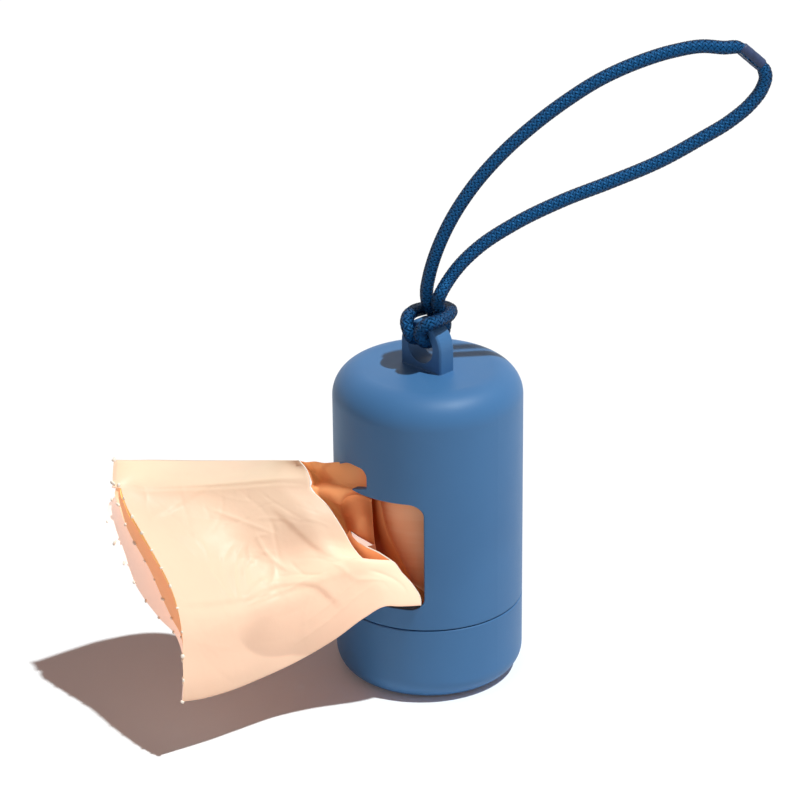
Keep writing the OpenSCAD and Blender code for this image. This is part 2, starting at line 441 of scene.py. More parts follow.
class Nodes:
    """A short way to write nodes into a tree."""

    def __init__(self, tree: bpy.types.NodeTree) -> None:
        """Writes into the given tree."""
        self.tree = tree

    def feed(self, socket: Socket, value: object) -> None:
        """Links a socket to another one or gives it a value, where a colour has three parts.

        Args:
            socket: An input of a node.
            value: A node's output or a plain value.
        """
        if isinstance(value, bpy.types.NodeSocket):
            self.tree.links.new(value, socket)
        elif socket.type == "RGBA":
            socket.default_value = (*value, 1.0)
        else:
            socket.default_value = value

    def node(
        self, kind: str, feeds: dict[str | int, object] | None = None, **settings: object
    ) -> bpy.types.Node:
        """Adds a node.

        Args:
            kind: Its type.
            feeds: A value or a socket for each of its inputs, by name or number.
            **settings: Its properties.

        Returns:
            The node.
        """
        node = self.tree.nodes.new(kind)
        for key, value in settings.items():
            setattr(node, key, value)
        for key, value in (feeds or {}).items():
            self.feed(node.inputs[key], value)
        return node


class Graph(Nodes):
    """A short way to write the shader of a material or of the world."""

    def __init__(self, owner: bpy.types.ID, output: str = "ShaderNodeOutputMaterial") -> None:
        """Empties the owner's tree but for an output node.

        Args:
            owner: A material or a world.
            output: The type of its output node.
        """
        owner.use_nodes = True
        super().__init__(owner.node_tree)
        self.tree.nodes.clear()
        self.owner = owner
        self.output = self.node(output)

    def place(self, kind: str = "Object") -> Socket:
        """The coordinates of the surface, Object or UV."""
        return self.node("ShaderNodeTexCoord").outputs[kind]

    def attribute(self, name: str) -> Socket:
        """A number stored on the mesh."""
        return self.node("ShaderNodeAttribute", attribute_name=name).outputs["Fac"]

    def noise(
        self, scale: float, detail: float, roughness: float = 0.5, place: Socket | None = None
    ) -> Socket:
        """A noise value from 0 to 1.

        Args:
            scale: Its scale, per metre.
            detail: Its octaves.
            roughness: How much each octave weighs.
            place: Its coordinates, or Object where there are none.

        Returns:
            The value's socket.
        """
        feeds = {"Scale": scale, "Detail": detail, "Roughness": roughness}
        feeds["Vector"] = place or self.place()
        return self.node("ShaderNodeTexNoise", feeds).outputs["Fac"]

    def stretched(self, scale: Point, kind: str = "Object") -> Socket:
        """Coordinates scaled by different amounts along each axis."""
        feeds = {"Vector": self.place(kind), "Scale": scale}
        return self.node("ShaderNodeMapping", feeds).outputs["Vector"]

    def ramp(
        self, value: Socket, first: tuple[float, Colour], last: tuple[float, Colour]
    ) -> Socket:
        """Passes from one colour to another along a value from 0 to 1.

        Args:
            value: The value.
            first: Where the first colour ends, and the colour.
            last: Where the last colour starts, and the colour.

        Returns:
            The colour's socket.
        """
        node = self.node("ShaderNodeValToRGB", {"Fac": value})
        for element, (at, colour) in zip(node.color_ramp.elements, (first, last)):
            element.position = at
            element.color = (*colour, 1.0)
        return node.outputs["Color"]

    def spread(self, value: Socket, low: float, high: float) -> Socket:
        """Maps a value from 0..1 to low..high."""
        feeds = {"Value": value, "To Min": low, "To Max": high}
        return self.node("ShaderNodeMapRange", feeds).outputs["Result"]

    def maths(self, operation: str, first: Socket, second: Socket | float) -> Socket:
        """One arithmetic step between two values."""
        return self.node("ShaderNodeMath", {0: first, 1: second}, operation=operation).outputs[0]

    def tinted(self, share: Socket, colour: Socket | Colour, tint: Colour) -> Socket:
        """A colour mixed with a tint by a share."""
        feeds = {"Factor": share, 6: colour, 7: tint}
        return self.node("ShaderNodeMix", feeds, data_type="RGBA").outputs[2]

    def seen(self) -> Socket:
        """1 for rays that show a surface to the eye, straight, mirrored or through glass.

        Returns:
            The value's socket, 0 for all other rays.
        """
        path = self.node("ShaderNodeLightPath").outputs
        seen = path["Is Camera Ray"]
        for kind in ("Is Glossy Ray", "Is Transmission Ray"):
            seen = self.maths("MAXIMUM", seen, path[kind])
        return seen

    def bump(
        self, height: Socket, distance: float, strength: float, normal: Socket | None = None
    ) -> Socket:
        """A bumped normal.

        Args:
            height: The relief, from 0 to 1.
            distance: Its full height in metres.
            strength: Its share.
            normal: A normal to add it to.

        Returns:
            The normal's socket.
        """
        feeds = {"Height": height, "Distance": distance, "Strength": strength}
        if normal is not None:
            feeds["Normal"] = normal
        return self.node("ShaderNodeBump", feeds).outputs["Normal"]

    def shader(self, kind: str, **sockets: object) -> Socket:
        """A shader with plain values or links on its own sockets.

        Args:
            kind: The node's type, without the part that all of them share.
            **sockets: Values by socket name, with _ for a space.

        Returns:
            The shader's socket.
        """
        feeds = {key.replace("_", " "): value for key, value in sockets.items()}
        return self.node("ShaderNode" + kind, feeds).outputs[0]

    def mixed(self, share: Socket | float, first: Socket, second: Socket) -> Socket:
        """Two shaders mixed by a share."""
        return self.node("ShaderNodeMixShader", {0: share, 1: first, 2: second}).outputs[0]

    def finish(self, shader: Socket) -> bpy.types.ID:
        """Links the shader to the output and returns the owner."""
        self.feed(self.output.inputs["Surface"], shader)
        return self.owner


class NodeTree(Nodes):
    """A short way to write a Geometry Nodes tree with named inputs."""

    def __init__(self, name: str) -> None:
        """Starts a tree with one geometry input and one output.

        Args:
            name: The tree's name.
        """
        super().__init__(bpy.data.node_groups.new(name, "GeometryNodeTree"))
        for way in ("INPUT", "OUTPUT"):
            self.tree.interface.new_socket("Geometry", in_out=way, socket_type="NodeSocketGeometry")
        self.start = self.node("NodeGroupInput")
        self.end = self.node("NodeGroupOutput")
        self.values: dict[str, float] = {}

    def number(self, name: str, value: float, whole: bool = False) -> Socket:
        """Adds a named input with its value.

        Args:
            name: The input's name.
            value: Its value.
            whole: Whether it is a whole number.

        Returns:
            Its socket.
        """
        kind = "NodeSocketInt" if whole else "NodeSocketFloat"
        self.tree.interface.new_socket(name, in_out="INPUT", socket_type=kind)
        self.values[name] = value
        return self.start.outputs[name]

    def edges(self) -> Socket:
        """The holder's edges as curves."""
        feeds = {"Mesh": self.start.outputs["Geometry"]}
        return self.node("GeometryNodeMeshToCurve", feeds).outputs["Curve"]

    def swept(self, curve: Socket, section: Socket) -> Socket:
        """A section swept along a curve, with closed ends."""
        feeds = {"Curve": curve, "Profile Curve": section, "Fill Caps": True}
        return self.node("GeometryNodeCurveToMesh", feeds).outputs["Mesh"]

    def end_with(self, geometry: Socket, material: Material) -> None:
        """Ends the tree in real geometry with one material.

        Args:
            geometry: What the tree has made.
            material: Its finish.
        """
        real = self.node("GeometryNodeRealizeInstances", {"Geometry": geometry})
        feeds = {"Geometry": real.outputs["Geometry"], "Material": material}
        finish = self.node("GeometryNodeSetMaterial", feeds)
        self.feed(self.end.inputs["Geometry"], finish.outputs["Geometry"])

    def applied(self, holder: Piece, name: str) -> Piece:
        """Runs the tree on an object and returns the result as a plain mesh piece.

        Args:
            holder: The object, which is removed.
            name: The piece's name.

        Returns:
            The piece.
        """
        modifier = holder.modifiers.new(name, "NODES")
        modifier.node_group = self.tree
        for item in self.tree.interface.items_tree:
            if item.item_type == "SOCKET" and item.in_out == "INPUT" and item.name in self.values:
                modifier[item.identifier] = self.values[item.name]
        piece = baked(holder, name)
        smoothed(piece.data)
        return piece


def set_choice(node: bpy.types.Node, name: str, choice: str) -> None:
    """Sets a node's menu, which is a property or an input socket."""
    if hasattr(node, name):
        setattr(node, name, choice.upper())
    else:
        node.inputs[name.title()].default_value = choice


# ---------------------------------------------------------------- finishes


@dataclass(frozen=True)
class MouldedPlastic:
    """Matt moulded plastic with a fine spark-eroded texture."""

    name: str = "blue_plastic"
    deep: Colour = (0.050, 0.158, 0.345)
    light: Colour = (0.058, 0.180, 0.385)
    roughness: Span = (0.41, 0.52)
    edge_radius: float = 0.0004

    def build(self) -> Material:
        """Makes the material.

        Returns:
            The material, with its nodes.
        """
        g = Graph(bpy.data.materials.new(self.name))
        cloud = g.noise(38.0, detail=2.0)
        grain = g.noise(5200.0, detail=2.0, roughness=0.6)
        edge = g.node("ShaderNodeBevel", {"Radius": self.edge_radius}, samples=6)
        skin = g.shader(
            "BsdfPrincipled",
            Base_Color=g.ramp(cloud, (0.3, self.deep), (0.7, self.light)),
            Roughness=g.spread(g.noise(160.0, detail=3.0), *self.roughness),
            Specular_IOR_Level=0.28,
            Normal=g.bump(grain, 0.00003, strength=0.55, normal=edge.outputs["Normal"]),
        )
        return g.finish(skin)


@dataclass(frozen=True)
class BagFilm:
    """Thin creased film that lets some light through, with a painted glow, painted shade and a pale
    painted-light tone read from the mesh.
    """

    name: str = "bag_film"
    pale: Colour = (1.0, 0.790, 0.570)
    rosy: Colour = (1.0, 0.690, 0.510)
    # Painted light: a pale tone that stands in for light coming through the film
    pink: Colour = (0.90, 0.80, 0.76)
    # Painted shade: the dark colour that the mesh's shade share mixes in
    deep: Colour = (0.10, 0.016, 0.004)
    glow: Colour = (1.0, 0.56, 0.28)
    through: float = 0.10
    # The strength of the painted glow, an emission where the mesh's share is 1
    lit_through: float = 0.30
    roughness: Span = (0.28, 0.46)
    crinkle_height: float = 0.00014

    def build(self) -> Material:
        """Makes the material.

        Returns:
            The material, with its nodes.
        """
        g = Graph(bpy.data.materials.new(self.name))
        clouded = tuple(0.6 * p + 0.4 * r for p, r in zip(self.pale, self.rosy))
        cloud = g.noise(55.0, detail=3.0, roughness=0.55)
        colour = g.ramp(cloud, (0.35, clouded), (0.62, self.pale))
        for share, tint in (("rosy", self.rosy), ("pink", self.pink), ("shade", self.deep)):
            colour = g.tinted(g.attribute(share), colour, tint)
        fine = g.noise(900.0, detail=3.0, roughness=0.55)
        coarse = g.noise(230.0, detail=2.0)
        normal = g.bump(coarse, self.crinkle_height, strength=0.6)
        normal = g.bump(fine, self.crinkle_height / 4, strength=0.5, normal=normal)
        skin = g.shader(
            "BsdfPrincipled",
            Base_Color=colour,
            Roughness=g.spread(coarse, *self.roughness),
            Specular_IOR_Level=0.10,
            Normal=normal,
            # The emission is a painted glow where the film would be lit from behind
            Emission_Color=colour,
            Emission_Strength=g.maths("MULTIPLY", g.attribute("lit_through"), self.lit_through),
        )
        glow = g.shader("BsdfTranslucent", Color=self.glow, Normal=normal)
        return g.finish(g.mixed(self.through, skin, glow))


GATHERED_FILM = BagFilm(
    name="gathered_film",
    pale=(1.0, 0.47, 0.215),
    rosy=(0.86, 0.29, 0.10),
    glow=(1.0, 0.40, 0.12),
    through=0.30,
)
TUCKED_FILM = BagFilm(
    name="tucked_film",
    pale=(0.93, 0.64, 0.43),
    rosy=(0.86, 0.54, 0.36),
    glow=(1.0, 0.60, 0.34),
    through=0.25,
)
# Film of the turned torn margin, with a stronger painted glow
EDGE_FILM = BagFilm(
    name="edge_film",
    pale=(1.0, 0.60, 0.20),
    rosy=(1.0, 0.52, 0.16),
    glow=(1.0, 0.55, 0.15),
    lit_through=0.45,
)


@dataclass(frozen=True)
class StretchedFilm:
    """Film drawn white where it was torn; on the folded rims its paler colour is a painted
    highlight.
    """

    name: str = "stretched_film"
    colour: Colour = (0.98, 0.86, 0.74)

    def build(self) -> Material:
        """Makes the material.

        Returns:
            The material, with its nodes.
        """
        g = Graph(bpy.data.materials.new(self.name))
        specks = g.noise(2500.0, detail=2.0)
        paler = lighter(self.colour, gain=1.0, lift=0.06)
        skin = g.shader(
            "BsdfPrincipled",
            Base_Color=g.ramp(specks, (0.35, self.colour), (0.65, paler)),
            Roughness=0.5,
            Normal=g.bump(specks, 0.0001, strength=0.6),
        )
        return g.finish(skin)


@dataclass(frozen=True)
class WoundFilm:
    """Many turns of film wound tight, with fine stretch lines."""

    name: str = "wound_film"
    light: Colour = (1.0, 0.490, 0.270)
    deep: Colour = (0.96, 0.420, 0.220)
    roughness: Span = (0.42, 0.60)

    def build(self) -> Material:
        """Makes the material.

        Returns:
            The material, with its nodes.
        """
        g = Graph(bpy.data.materials.new(self.name))
        bands = g.noise(60.0, detail=4.0, roughness=0.6, place=g.stretched((1.0, 1.0, 9.0)))
        streaks = g.noise(420.0, detail=2.0, roughness=0.6, place=g.stretched((1.0, 1.0, 0.12)))
        skin = g.shader(
            "BsdfPrincipled",
            Base_Color=g.ramp(bands, (0.3, self.deep), (0.66, self.light)),
            Roughness=g.spread(streaks, *self.roughness),
            Specular_IOR_Level=0.35,
            Normal=g.bump(streaks, 0.00012, strength=0.5),
        )
        return g.finish(skin)


@dataclass(frozen=True)
class CoreCard:
    """Grey-brown card wound in a slanting seam."""

    name: str = "core_card"
    pale: Colour = (0.46, 0.34, 0.22)
    dark: Colour = (0.30, 0.21, 0.13)

    def build(self) -> Material:
        """Makes the material.

        Returns:
            The material, with its nodes.
        """
        g = Graph(bpy.data.materials.new(self.name))
        fibres = g.noise(1400.0, detail=4.0, roughness=0.65, place=g.stretched((1.0, 1.0, 0.3)))
        skin = g.shader(
            "BsdfPrincipled",
            Base_Color=g.ramp(fibres, (0.3, self.dark), (0.65, self.pale)),
            Roughness=0.88,
            Specular_IOR_Level=0.2,
            Normal=g.bump(fibres, 0.00008, strength=0.7),
        )
        return g.finish(skin)


@dataclass(frozen=True)
class BraidedYarn:
    """Silky navy yarn, streaked along its fibres with painted sheen and darker at its outline as
    painted shade.
    """

    name: str = "elastic_cord"
    dark: Colour = (0.001, 0.006, 0.028)
    bright: Colour = (0.008, 0.075, 0.220)
    glint: Colour = (0.08, 0.45, 1.0)
    roughness: Span = (0.24, 0.44)

    def build(self) -> Material:
        """Makes the material.

        Returns:
            The material, with its nodes.
        """
        g = Graph(bpy.data.materials.new(self.name))
        lie = {"Scale": 5.0, "Vector": g.stretched((0.35, 1.0, 1.0), "UV")}
        fibres = g.node("ShaderNodeTexWave", lie, bands_direction="Y").outputs["Fac"]
        facing = g.node("ShaderNodeLayerWeight", {"Blend": 0.62}).outputs["Facing"]
        # Painted sheen on the fibres' streaks, less where the yarn is seen edge-on: painted shade at
        # its outline
        lit = g.maths("SUBTRACT", g.spread(fibres, 0.78, 1.0), facing)
        skin = g.shader(
            "BsdfPrincipled",
            Base_Color=g.ramp(lit, (0.15, self.dark), (0.8, self.bright)),
            Roughness=g.spread(g.noise(1500.0, detail=2.0), *self.roughness),
            Specular_IOR_Level=g.spread(facing, 1.0, 0.0),
            Specular_Tint=self.glint,
            Normal=g.bump(fibres, 0.00005, strength=0.6),
        )
        return g.finish(skin)


@dataclass(frozen=True)
class SleeveMetal:
    """Metal of the crimped sleeve, painted outside or bare at its cut edges."""

    name: str
    colour: Colour
    roughness: Span
    metallic: float

    def build(self) -> Material:
        """Makes the material.

        Returns:
            The material, with its nodes.
        """
        g = Graph(bpy.data.materials.new(self.name))
        scuffs = g.noise(700.0, detail=4.0, roughness=0.6)
        worn = lighter(self.colour, gain=1.7, lift=0.01)
        skin = g.shader(
            "BsdfPrincipled",
            Base_Color=g.ramp(scuffs, (0.35, self.colour), (0.75, worn)),
            Roughness=g.spread(scuffs, *self.roughness),
            Metallic=self.metallic,
            Normal=g.bump(scuffs, 0.00004, strength=0.5),
        )
        return g.finish(skin)


SLEEVE_PAINT = SleeveMetal("crimp_paint", (0.008, 0.022, 0.075), (0.42, 0.62), 0.0)
SLEEVE_BARE = SleeveMetal("crimp_bare", (0.62, 0.66, 0.70), (0.17, 0.37), 1.0)


# ---------------------------------------------------------------- studio


@dataclass
class Studio:
    """Camera, light and floor."""

    target: Point = (0.0, 0.0, 0.038)
    eye_distance: float = 0.761562
    eye_azimuth: float = 43.965
    eye_elevation: float = 26.107
    look_azimuth: float = 44.513
    look_elevation: float = 23.958
    roll: float = -0.594
    focal_px: float = 3177.4
    image_px: float = 800.0
    sun_azimuth: float = 114.0
    sun_elevation: float = 67.0
    sun_strength: float = 3.35
    sun_width: float = 1.6
    sun_colour: Colour = (0.90, 0.985, 1.0)
    fill: Colour = (0.215, 0.140, 0.122)
    backdrop: Colour = (1.0, 1.0, 1.0)
    floor_colour: Colour = (0.92, 0.92, 0.92)
    floor_bounce: Colour = (0.26, 0.16, 0.12)
    floor_lift: float = 0.03
    floor_reach: float = 6.0
    # Where along X the light thrown back by the floor passes from its bounce to its colour
    bright_from: Span = (-0.09, 0.02)

    @staticmethod
    def towards(azimuth: float, elevation: float) -> Vector:
        """The direction to a camera or lamp at an azimuth and elevation in degrees."""
        a, e = math.radians(azimuth), math.radians(elevation)
        return Vector(
            (math.sin(a) * math.cos(e), -math.cos(a) * math.cos(e), math.sin(e))
        )

    def camera(self) -> None:
        """Makes the camera, whose eye and line of sight are given apart."""
        data = bpy.data.cameras.new("camera")
        data.sensor_width = 36.0
        data.lens = self.focal_px / self.image_px * data.sensor_width
        back = self.towards(self.look_azimuth, self.look_elevation)
        right = self.towards(self.look_azimuth + 90, 0)
        turn = Matrix((right, back.cross(right), back)).transposed().to_4x4()
        away = self.eye_distance * self.towards(self.eye_azimuth, self.eye_elevation)
        rolled = Matrix.Rotation(math.radians(self.roll), 4, "Z")
        camera = placed("camera", data)
        camera.matrix_world = Matrix.Translation(Vector(self.target) + away) @ turn @ rolled
        bpy.context.scene.camera = camera

    def light(self) -> None:
        """Makes one sun and a warm, even fill before a white backdrop."""
        sun = bpy.data.lights.new("sun", "SUN")
        sun.energy = self.sun_strength
        sun.color = self.sun_colour
        sun.angle = math.radians(self.sun_width)
        lamp = placed("sun", sun)
        lamp.rotation_mode = "QUATERNION"
        aim = self.towards(self.sun_azimuth, self.sun_elevation)
        lamp.rotation_quaternion = aim.to_track_quat("Z", "Y")
        g = Graph(bpy.data.worlds.new("room"), "ShaderNodeOutputWorld")
        fill = g.shader("Background", Color=self.fill)
        backdrop = g.shader("Background", Color=self.backdrop)
        bpy.context.scene.world = g.finish(g.mixed(g.seen(), fill, backdrop))

    def floor(self) -> None:
        """Makes the floor, which stays white where light falls and keeps the shadow."""
        g = Graph(bpy.data.materials.new("floor"))
        matt = g.shader("BsdfDiffuse", Color=self.floor_colour)
        lift = g.shader("Emission", Strength=self.floor_lift)
        white = g.node("ShaderNodeAddShader", {0: matt, 1: lift}).outputs[0]
        place = g.node("ShaderNodeSeparateXYZ", {0: g.place()})
        span = dict(zip(("From Min", "From Max"), self.bright_from))
        side = g.node(
            "ShaderNodeMapRange",
            {"Value": place.outputs["X"], **span},
            interpolation_type="SMOOTHSTEP",
        )
        tone = g.tinted(side.outputs["Result"], self.floor_bounce, self.floor_colour)
        dim = g.shader("BsdfDiffuse", Color=tone)
        material = g.finish(g.mixed(g.seen(), dim, white))
        corners = np.array([(-1, -1, 0), (1, -1, 0), (1, 1, 0), (-1, 1, 0)], float)
        plane = mesh_piece("floor", corners * self.floor_reach, [(0, 1, 2, 3)], material)

    def build(self) -> None:
        """Makes everything that isn't part of the object."""
        bpy.context.scene.view_settings.view_transform = "Standard"
        self.camera()
        self.light()
        self.floor()


# ---------------------------------------------------------------- cord loop


@dataclass
class CrimpSleeve:
    """The crimped sleeve: a rolled strip with an open seam and pressed dents."""

    middle: Points
    axis: Points
    # The direction out of the loop's plane
    aside: Points
    length: float
    outer: float = 0.0031
    wall: float = 0.00035
    sides: int = 44
    rings: int = 15
    slit: float = 26.0
    flattened: float = 0.05
    # Where its seam faces, out of the loop's plane and down, and how deep its dents and rims are
    seam_faces: Span = (0.84, 0.54)
    dent_rows: int = 3
    dent_depth: float = 0.00002
    dent_ends: Span = (0.0, 0.2)
    rim_depth: float = 0.00012
    rim_ends: Span = (0.0, 0.12)

    def skin(self, angles: Points, inside: bool) -> Points:
        """The outer or the inner skin of the sleeve.

        Args:
            angles: The angle of each point of a ring, from the seam.
            inside: Whether it is the inner skin.

        Returns:
            Its points, ring by ring.
        """
        up = unit(np.cross(self.aside, self.axis))
        seam = unit(self.aside * self.seam_faces[0] - up * self.seam_faces[1])
        places = np.linspace(-0.5, 0.5, self.rings)
        from_end = 1 - 2 * np.abs(places)
        dents = self.dent_depth * (1 + np.cos(2 * np.pi * self.dent_rows * places))
        radius = self.outer / 2 - inside * self.wall
        radius = radius - dents * smoothstep(*self.dent_ends, from_end)
        rolled = self.rim_depth * (1 - smoothstep(*self.rim_ends, from_end))
        radius = radius - (1 - inside) * rolled
        flat = 1 - self.flattened * np.cos(2 * angles)
        out = scaled(np.cos(angles), seam) + scaled(np.sin(angles), np.cross(self.axis, seam))
        rings = self.middle + self.length * scaled(places, self.axis)
        return (rings[:, None] + scaled(np.outer(radius, flat), out)).reshape(-1, 3)

    def build(self, paint: Material, bare: Material) -> Piece:
        """Makes the sleeve and puts it on its body.

        Args:
            paint: The finish of its skins.
            bare: The finish of its cut edges.

        Returns:
            The piece.
        """
        slit = math.radians(self.slit)
        angles = np.linspace(slit / 2, 2 * math.pi - slit / 2, self.sides)
        points = np.concatenate([self.skin(angles, inside) for inside in (False, True)])
        skin, outer = self.rings * self.sides, grid_faces(self.rings, self.sides)
        number = np.arange(skin).reshape(self.rings, self.sides)
        borders = ((number[:, 0], 1), (number[:, -1], -1), (number[0], -1), (number[-1], 1))
        edges = [
            (a, b, b + skin, a + skin)[::turn]
            for border, turn in borders
            for a, b in zip(border, border[1:])
        ]
        faces = [*outer, *(outer[:, ::-1] + skin)]
        piece = mesh_piece("crimp_sleeve", points, faces + edges, paint)
        piece.data.materials.append(bare)
        for polygon in piece.data.polygons[len(faces):]:
            polygon.material_index = 1
            polygon.use_smooth = False
        recalculated(piece)
        return settle(piece, Body.LOOP, Slot.CRIMP, "cord_crimp")


@dataclass
class CordLoop:
    """One elastic cord, hitched through the lug and joined in a crimped sleeve."""

    diameter: float = 0.0032
    braid_lead: float = 0.0054
    yarns: int = 8
    yarn_width: float = 0.00074
    yarn_thickness: float = 0.00028
    yarn_section: tuple[Span, ...] = ((1, 0), (0.55, 0.8), (-0.55, 0.8), (-1, 0), (0, -0.7))
    # How deep a yarn lies and how far it rises and dips, as shares of its thickness
    yarn_seat: float = 0.75
    yarn_wave: float = 0.42
    rings_per_lead: int = 24
    core_sides: int = 10
    core_rings: int = 360
    core_share: float = 0.75
    # How much the cord narrows in its sleeve, and where from its ends it widens again
    squeeze: float = 0.24
    squeeze_ends: Span = (0.0026, 0.0044)
    sleeve_length: float = 0.0064
    # How far towards the sleeve's middle the cord's ends reach
    end_share: float = 0.9
    # The two halves of the cow hitch, from above the lug to the back of the bight
    hitch_left: tuple[Point, ...] = (
        (-1.6, 1.6, 94.2), (-1.6, 2, 92.7), (-1.6, 2.9, 91.2), (-1.7, 3.9, 89.6),
        (-1.7, 4.1, 87.6), (-1.7, 3.5, 85.9), (-1.7, 2.2, 85.1), (-1.7, 0, 85.1),
        (-1.8, -2.2, 85.2), (-1.9, -3.6, 86.1), (-2.1, -4.1, 87.6), (-2.8, -4, 89),
        (-3.6, -2.9, 90), (-4.5, -0.4, 90.4), (-4.8, 2.6, 90.2), (-3.8, 5.1, 90.2),
    )
    hitch_right: tuple[Point, ...] = (
        (1.8, 1.7, 94.1), (1.7, 2.1, 92.6), (1.7, 2.9, 91.2), (1.7, 3.9, 89.6),
        (1.7, 4.1, 87.6), (1.7, 3.5, 85.9), (1.7, 2.2, 85.1), (1.7, 0, 85.1),
        (1.7, -2.2, 85.2), (1.7, -3.7, 86.5), (1.8, -4.3, 88.3), (2.8, -4.4, 89.8),
        (4.1, -3.8, 90.9), (4.6, -1.9, 91.1), (4.4, 0.6, 91), (3.8, 3.4, 91),
        (2, 5.8, 90.9),
    )
    hitch_middle: Point = (-0.8, 6.6, 90.6)
    strand_left: Point = (-1.5, 1.4, 96.1)
    strand_right: Point = (2.7, 1.5, 96.1)
    knot_top: Point = (0, 1.5, 96.1)
    # Runs of the loop: reach, height above the knot, offset out of the loop's plane
    upper_run: tuple[Point, ...] = (
        (-0.6, 3.5, -0.7), (0.6, 8.2, -0.3), (3.9, 16.5, 0), (9.8, 26.2, 0),
        (16.2, 33.8, 0), (23.1, 40.3, 0), (30.6, 46.2, 0), (38.4, 51.3, 0), (46.8, 55.2, 0),
        (54.6, 57.7, 0), (61.6, 58.8, 0), (66, 58.4, 0),
    )
    lower_run: tuple[Point, ...] = (
        (4, 3.3, 0.6), (6.6, 6.8, 0.3), (10.9, 11, 0), (18.7, 16.4, 0),
        (30.3, 22.3, 0), (41.3, 26.7, 0), (52.9, 31.8, 0), (61.2, 36.6, 0),
        (68.4, 41.2, 0), (72.6, 45, 0), (75.1, 48.7, 0), (75.8, 51.5, 0),
    )
    crimp_middle: Point = (72.4, 56.2, 0)
    crimp_tilt: float = 41.0
    loop_turn: float = 45.0
    samples: int = 4000
    path_points: int = 900
    line: Points = field(init=False)

    def __post_init__(self) -> None:
        """Works out the cord's line."""
        self.line = self.route()

    def turned(self, point: Sequence[float]) -> Points:
        """Turns (reach, height, offset) into the frame's directions.

        Args:
            point: A point or a direction in the loop's plane.

        Returns:
            The same along X, Y and Z.
        """
        a = math.radians(self.loop_turn)
        reach, height, offset = point
        return np.array(
            [
                reach * math.cos(a) + offset * math.sin(a),
                reach * math.sin(a) - offset * math.cos(a),
                height,
            ]
        )

    def in_loop(self, point: Sequence[float]) -> Points:
        """A point of the loop's plane, in millimetres of the frame."""
        return np.array(self.knot_top) + self.turned(point)

    @property
    def sleeve_direction(self) -> Points:
        """The sleeve's axis, from the upper run to the lower one."""
        a = math.radians(self.crimp_tilt)
        return self.turned((math.cos(a), -math.sin(a), 0))

    def route(self) -> Points:
        """The cord's line from the sleeve round the whole loop and back into it.

        Returns:
            Its points, one row each.
        """
        middle = self.in_loop(self.crimp_middle)
        half = self.sleeve_direction * self.sleeve_length / 2 / MM
        short = half * (1 - self.end_share)
        points = [middle - short, middle - half]
        points += [self.in_loop(p) for p in reversed(self.upper_run)]
        points += [self.strand_left, *self.hitch_left, self.hitch_middle]
        points += [*reversed(self.hitch_right), self.strand_right]
        points += [self.in_loop(p) for p in self.lower_run]
        points += [middle + half, middle + short]
        return curve_through(mm(points), np.linspace(0, 1, self.samples))

    def braid(self) -> tuple[list[Part], Points]:
        """The yarns of the braid, crossing over two and under two.

        Returns:
            Each yarn's vertices and quads, and the UV of all, U along a yarn and V across it.
        """
        length = lengths_along(self.line)[-1]
        rings = int(round(length / self.braid_lead * self.rings_per_lead))
        line = evenly(self.line, rings)
        tangents, sides, lifts = carried_frames(line, (1.0, 0.0, 0.0))
        along = np.linspace(0, length, rings)
        turns = along / self.braid_lead
        from_end = np.minimum(along, length - along)
        squeezed = 1 - self.squeeze * (1 - smoothstep(*self.squeeze_ends, from_end))
        middle = self.diameter / 2 - self.yarn_thickness * self.yarn_seat
        slope = 2 * math.pi * middle / self.braid_lead
        section = np.array(self.yarn_section)
        wide = section[None, :, :1] * self.yarn_width / 2
        thick = section[None, :, 1:] * self.yarn_thickness / 2
        faces = grid_faces(rings, len(section), wrap=True)
        yarns = []
        for way in (1, -1):
            wave = np.cos(self.yarns * np.pi * turns) * self.yarn_wave * self.yarn_thickness
            for k in range(self.yarns):
                angle = 2 * np.pi * (way * turns + k / self.yarns)
                out = scaled(np.cos(angle), sides) + scaled(np.sin(angle), lifts)
                heading = unit(tangents + way * slope * np.cross(tangents, out))
                across = np.cross(heading, out)
                centre = line + scaled((middle + way * wave) * squeezed, out)
                ring = centre[:, None] + wide * across[:, None] + thick * out[:, None]
                yarns.append((ring.reshape(-1, 3), faces))
        u = np.repeat(turns, len(section))
        v = np.tile(np.linspace(0, 1, len(section)), rings)
        return yarns, np.tile(np.stack([u, v], axis=1), (len(yarns), 1))

    def core(self) -> Part:
        """The vertices and quads of the rubber core under the braid.

        Returns:
            The vertices, ring by ring, and the quads.
        """
        line = evenly(self.line, self.core_rings)
        _, sides, lifts = carried_frames(line, (1.0, 0.0, 0.0))
        angle = np.linspace(0, 2 * np.pi, self.core_sides, endpoint=False)[None]
        out = scaled(np.cos(angle), sides[:, None]) + scaled(np.sin(angle), lifts[:, None])
        radius = (self.diameter / 2 - self.yarn_thickness) * self.core_share
        points = (line[:, None] + out * radius).reshape(-1, 3)
        return points, grid_faces(self.core_rings, self.core_sides, wrap=True)

    def cord(self, yarn: Material) -> Piece:
        """Makes the braided cord as one piece.

        Args:
            yarn: The cord's finish.

        Returns:
            The piece.
        """
        yarns, uv = self.braid()
        points, faces = joined([*yarns, self.core()])
        piece = mesh_piece("braided_cord", points, faces, yarn)
        set_uv(piece, np.concatenate([uv, np.zeros((len(points) - len(uv), 2))]))
        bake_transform(piece)
        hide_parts("cord_hitch", "cord_upper", "cord_lower")
        return piece

    def build(self) -> None:
        middle, axis = mm(self.in_loop(self.crimp_middle)), unit(self.sleeve_direction)
        crimp = CrimpSleeve(middle, axis, self.turned((0, 0, 1)), self.sleeve_length)
        sleeve = crimp.build(SLEEVE_PAINT.build(), SLEEVE_BARE.build())
        cord = self.cord(BraidedYarn().build())


# ---------------------------------------------------------------- bag


class Fold(Enum):
    """How a crease lifts the film on its two sides."""

    RIDGE = "ridge"
    STEP = "step"


# The share of a crease over which it fades at each end, and how far a step's rise spreads
FADE: Span = (0, 0.25)
STEP_SPREAD = 6


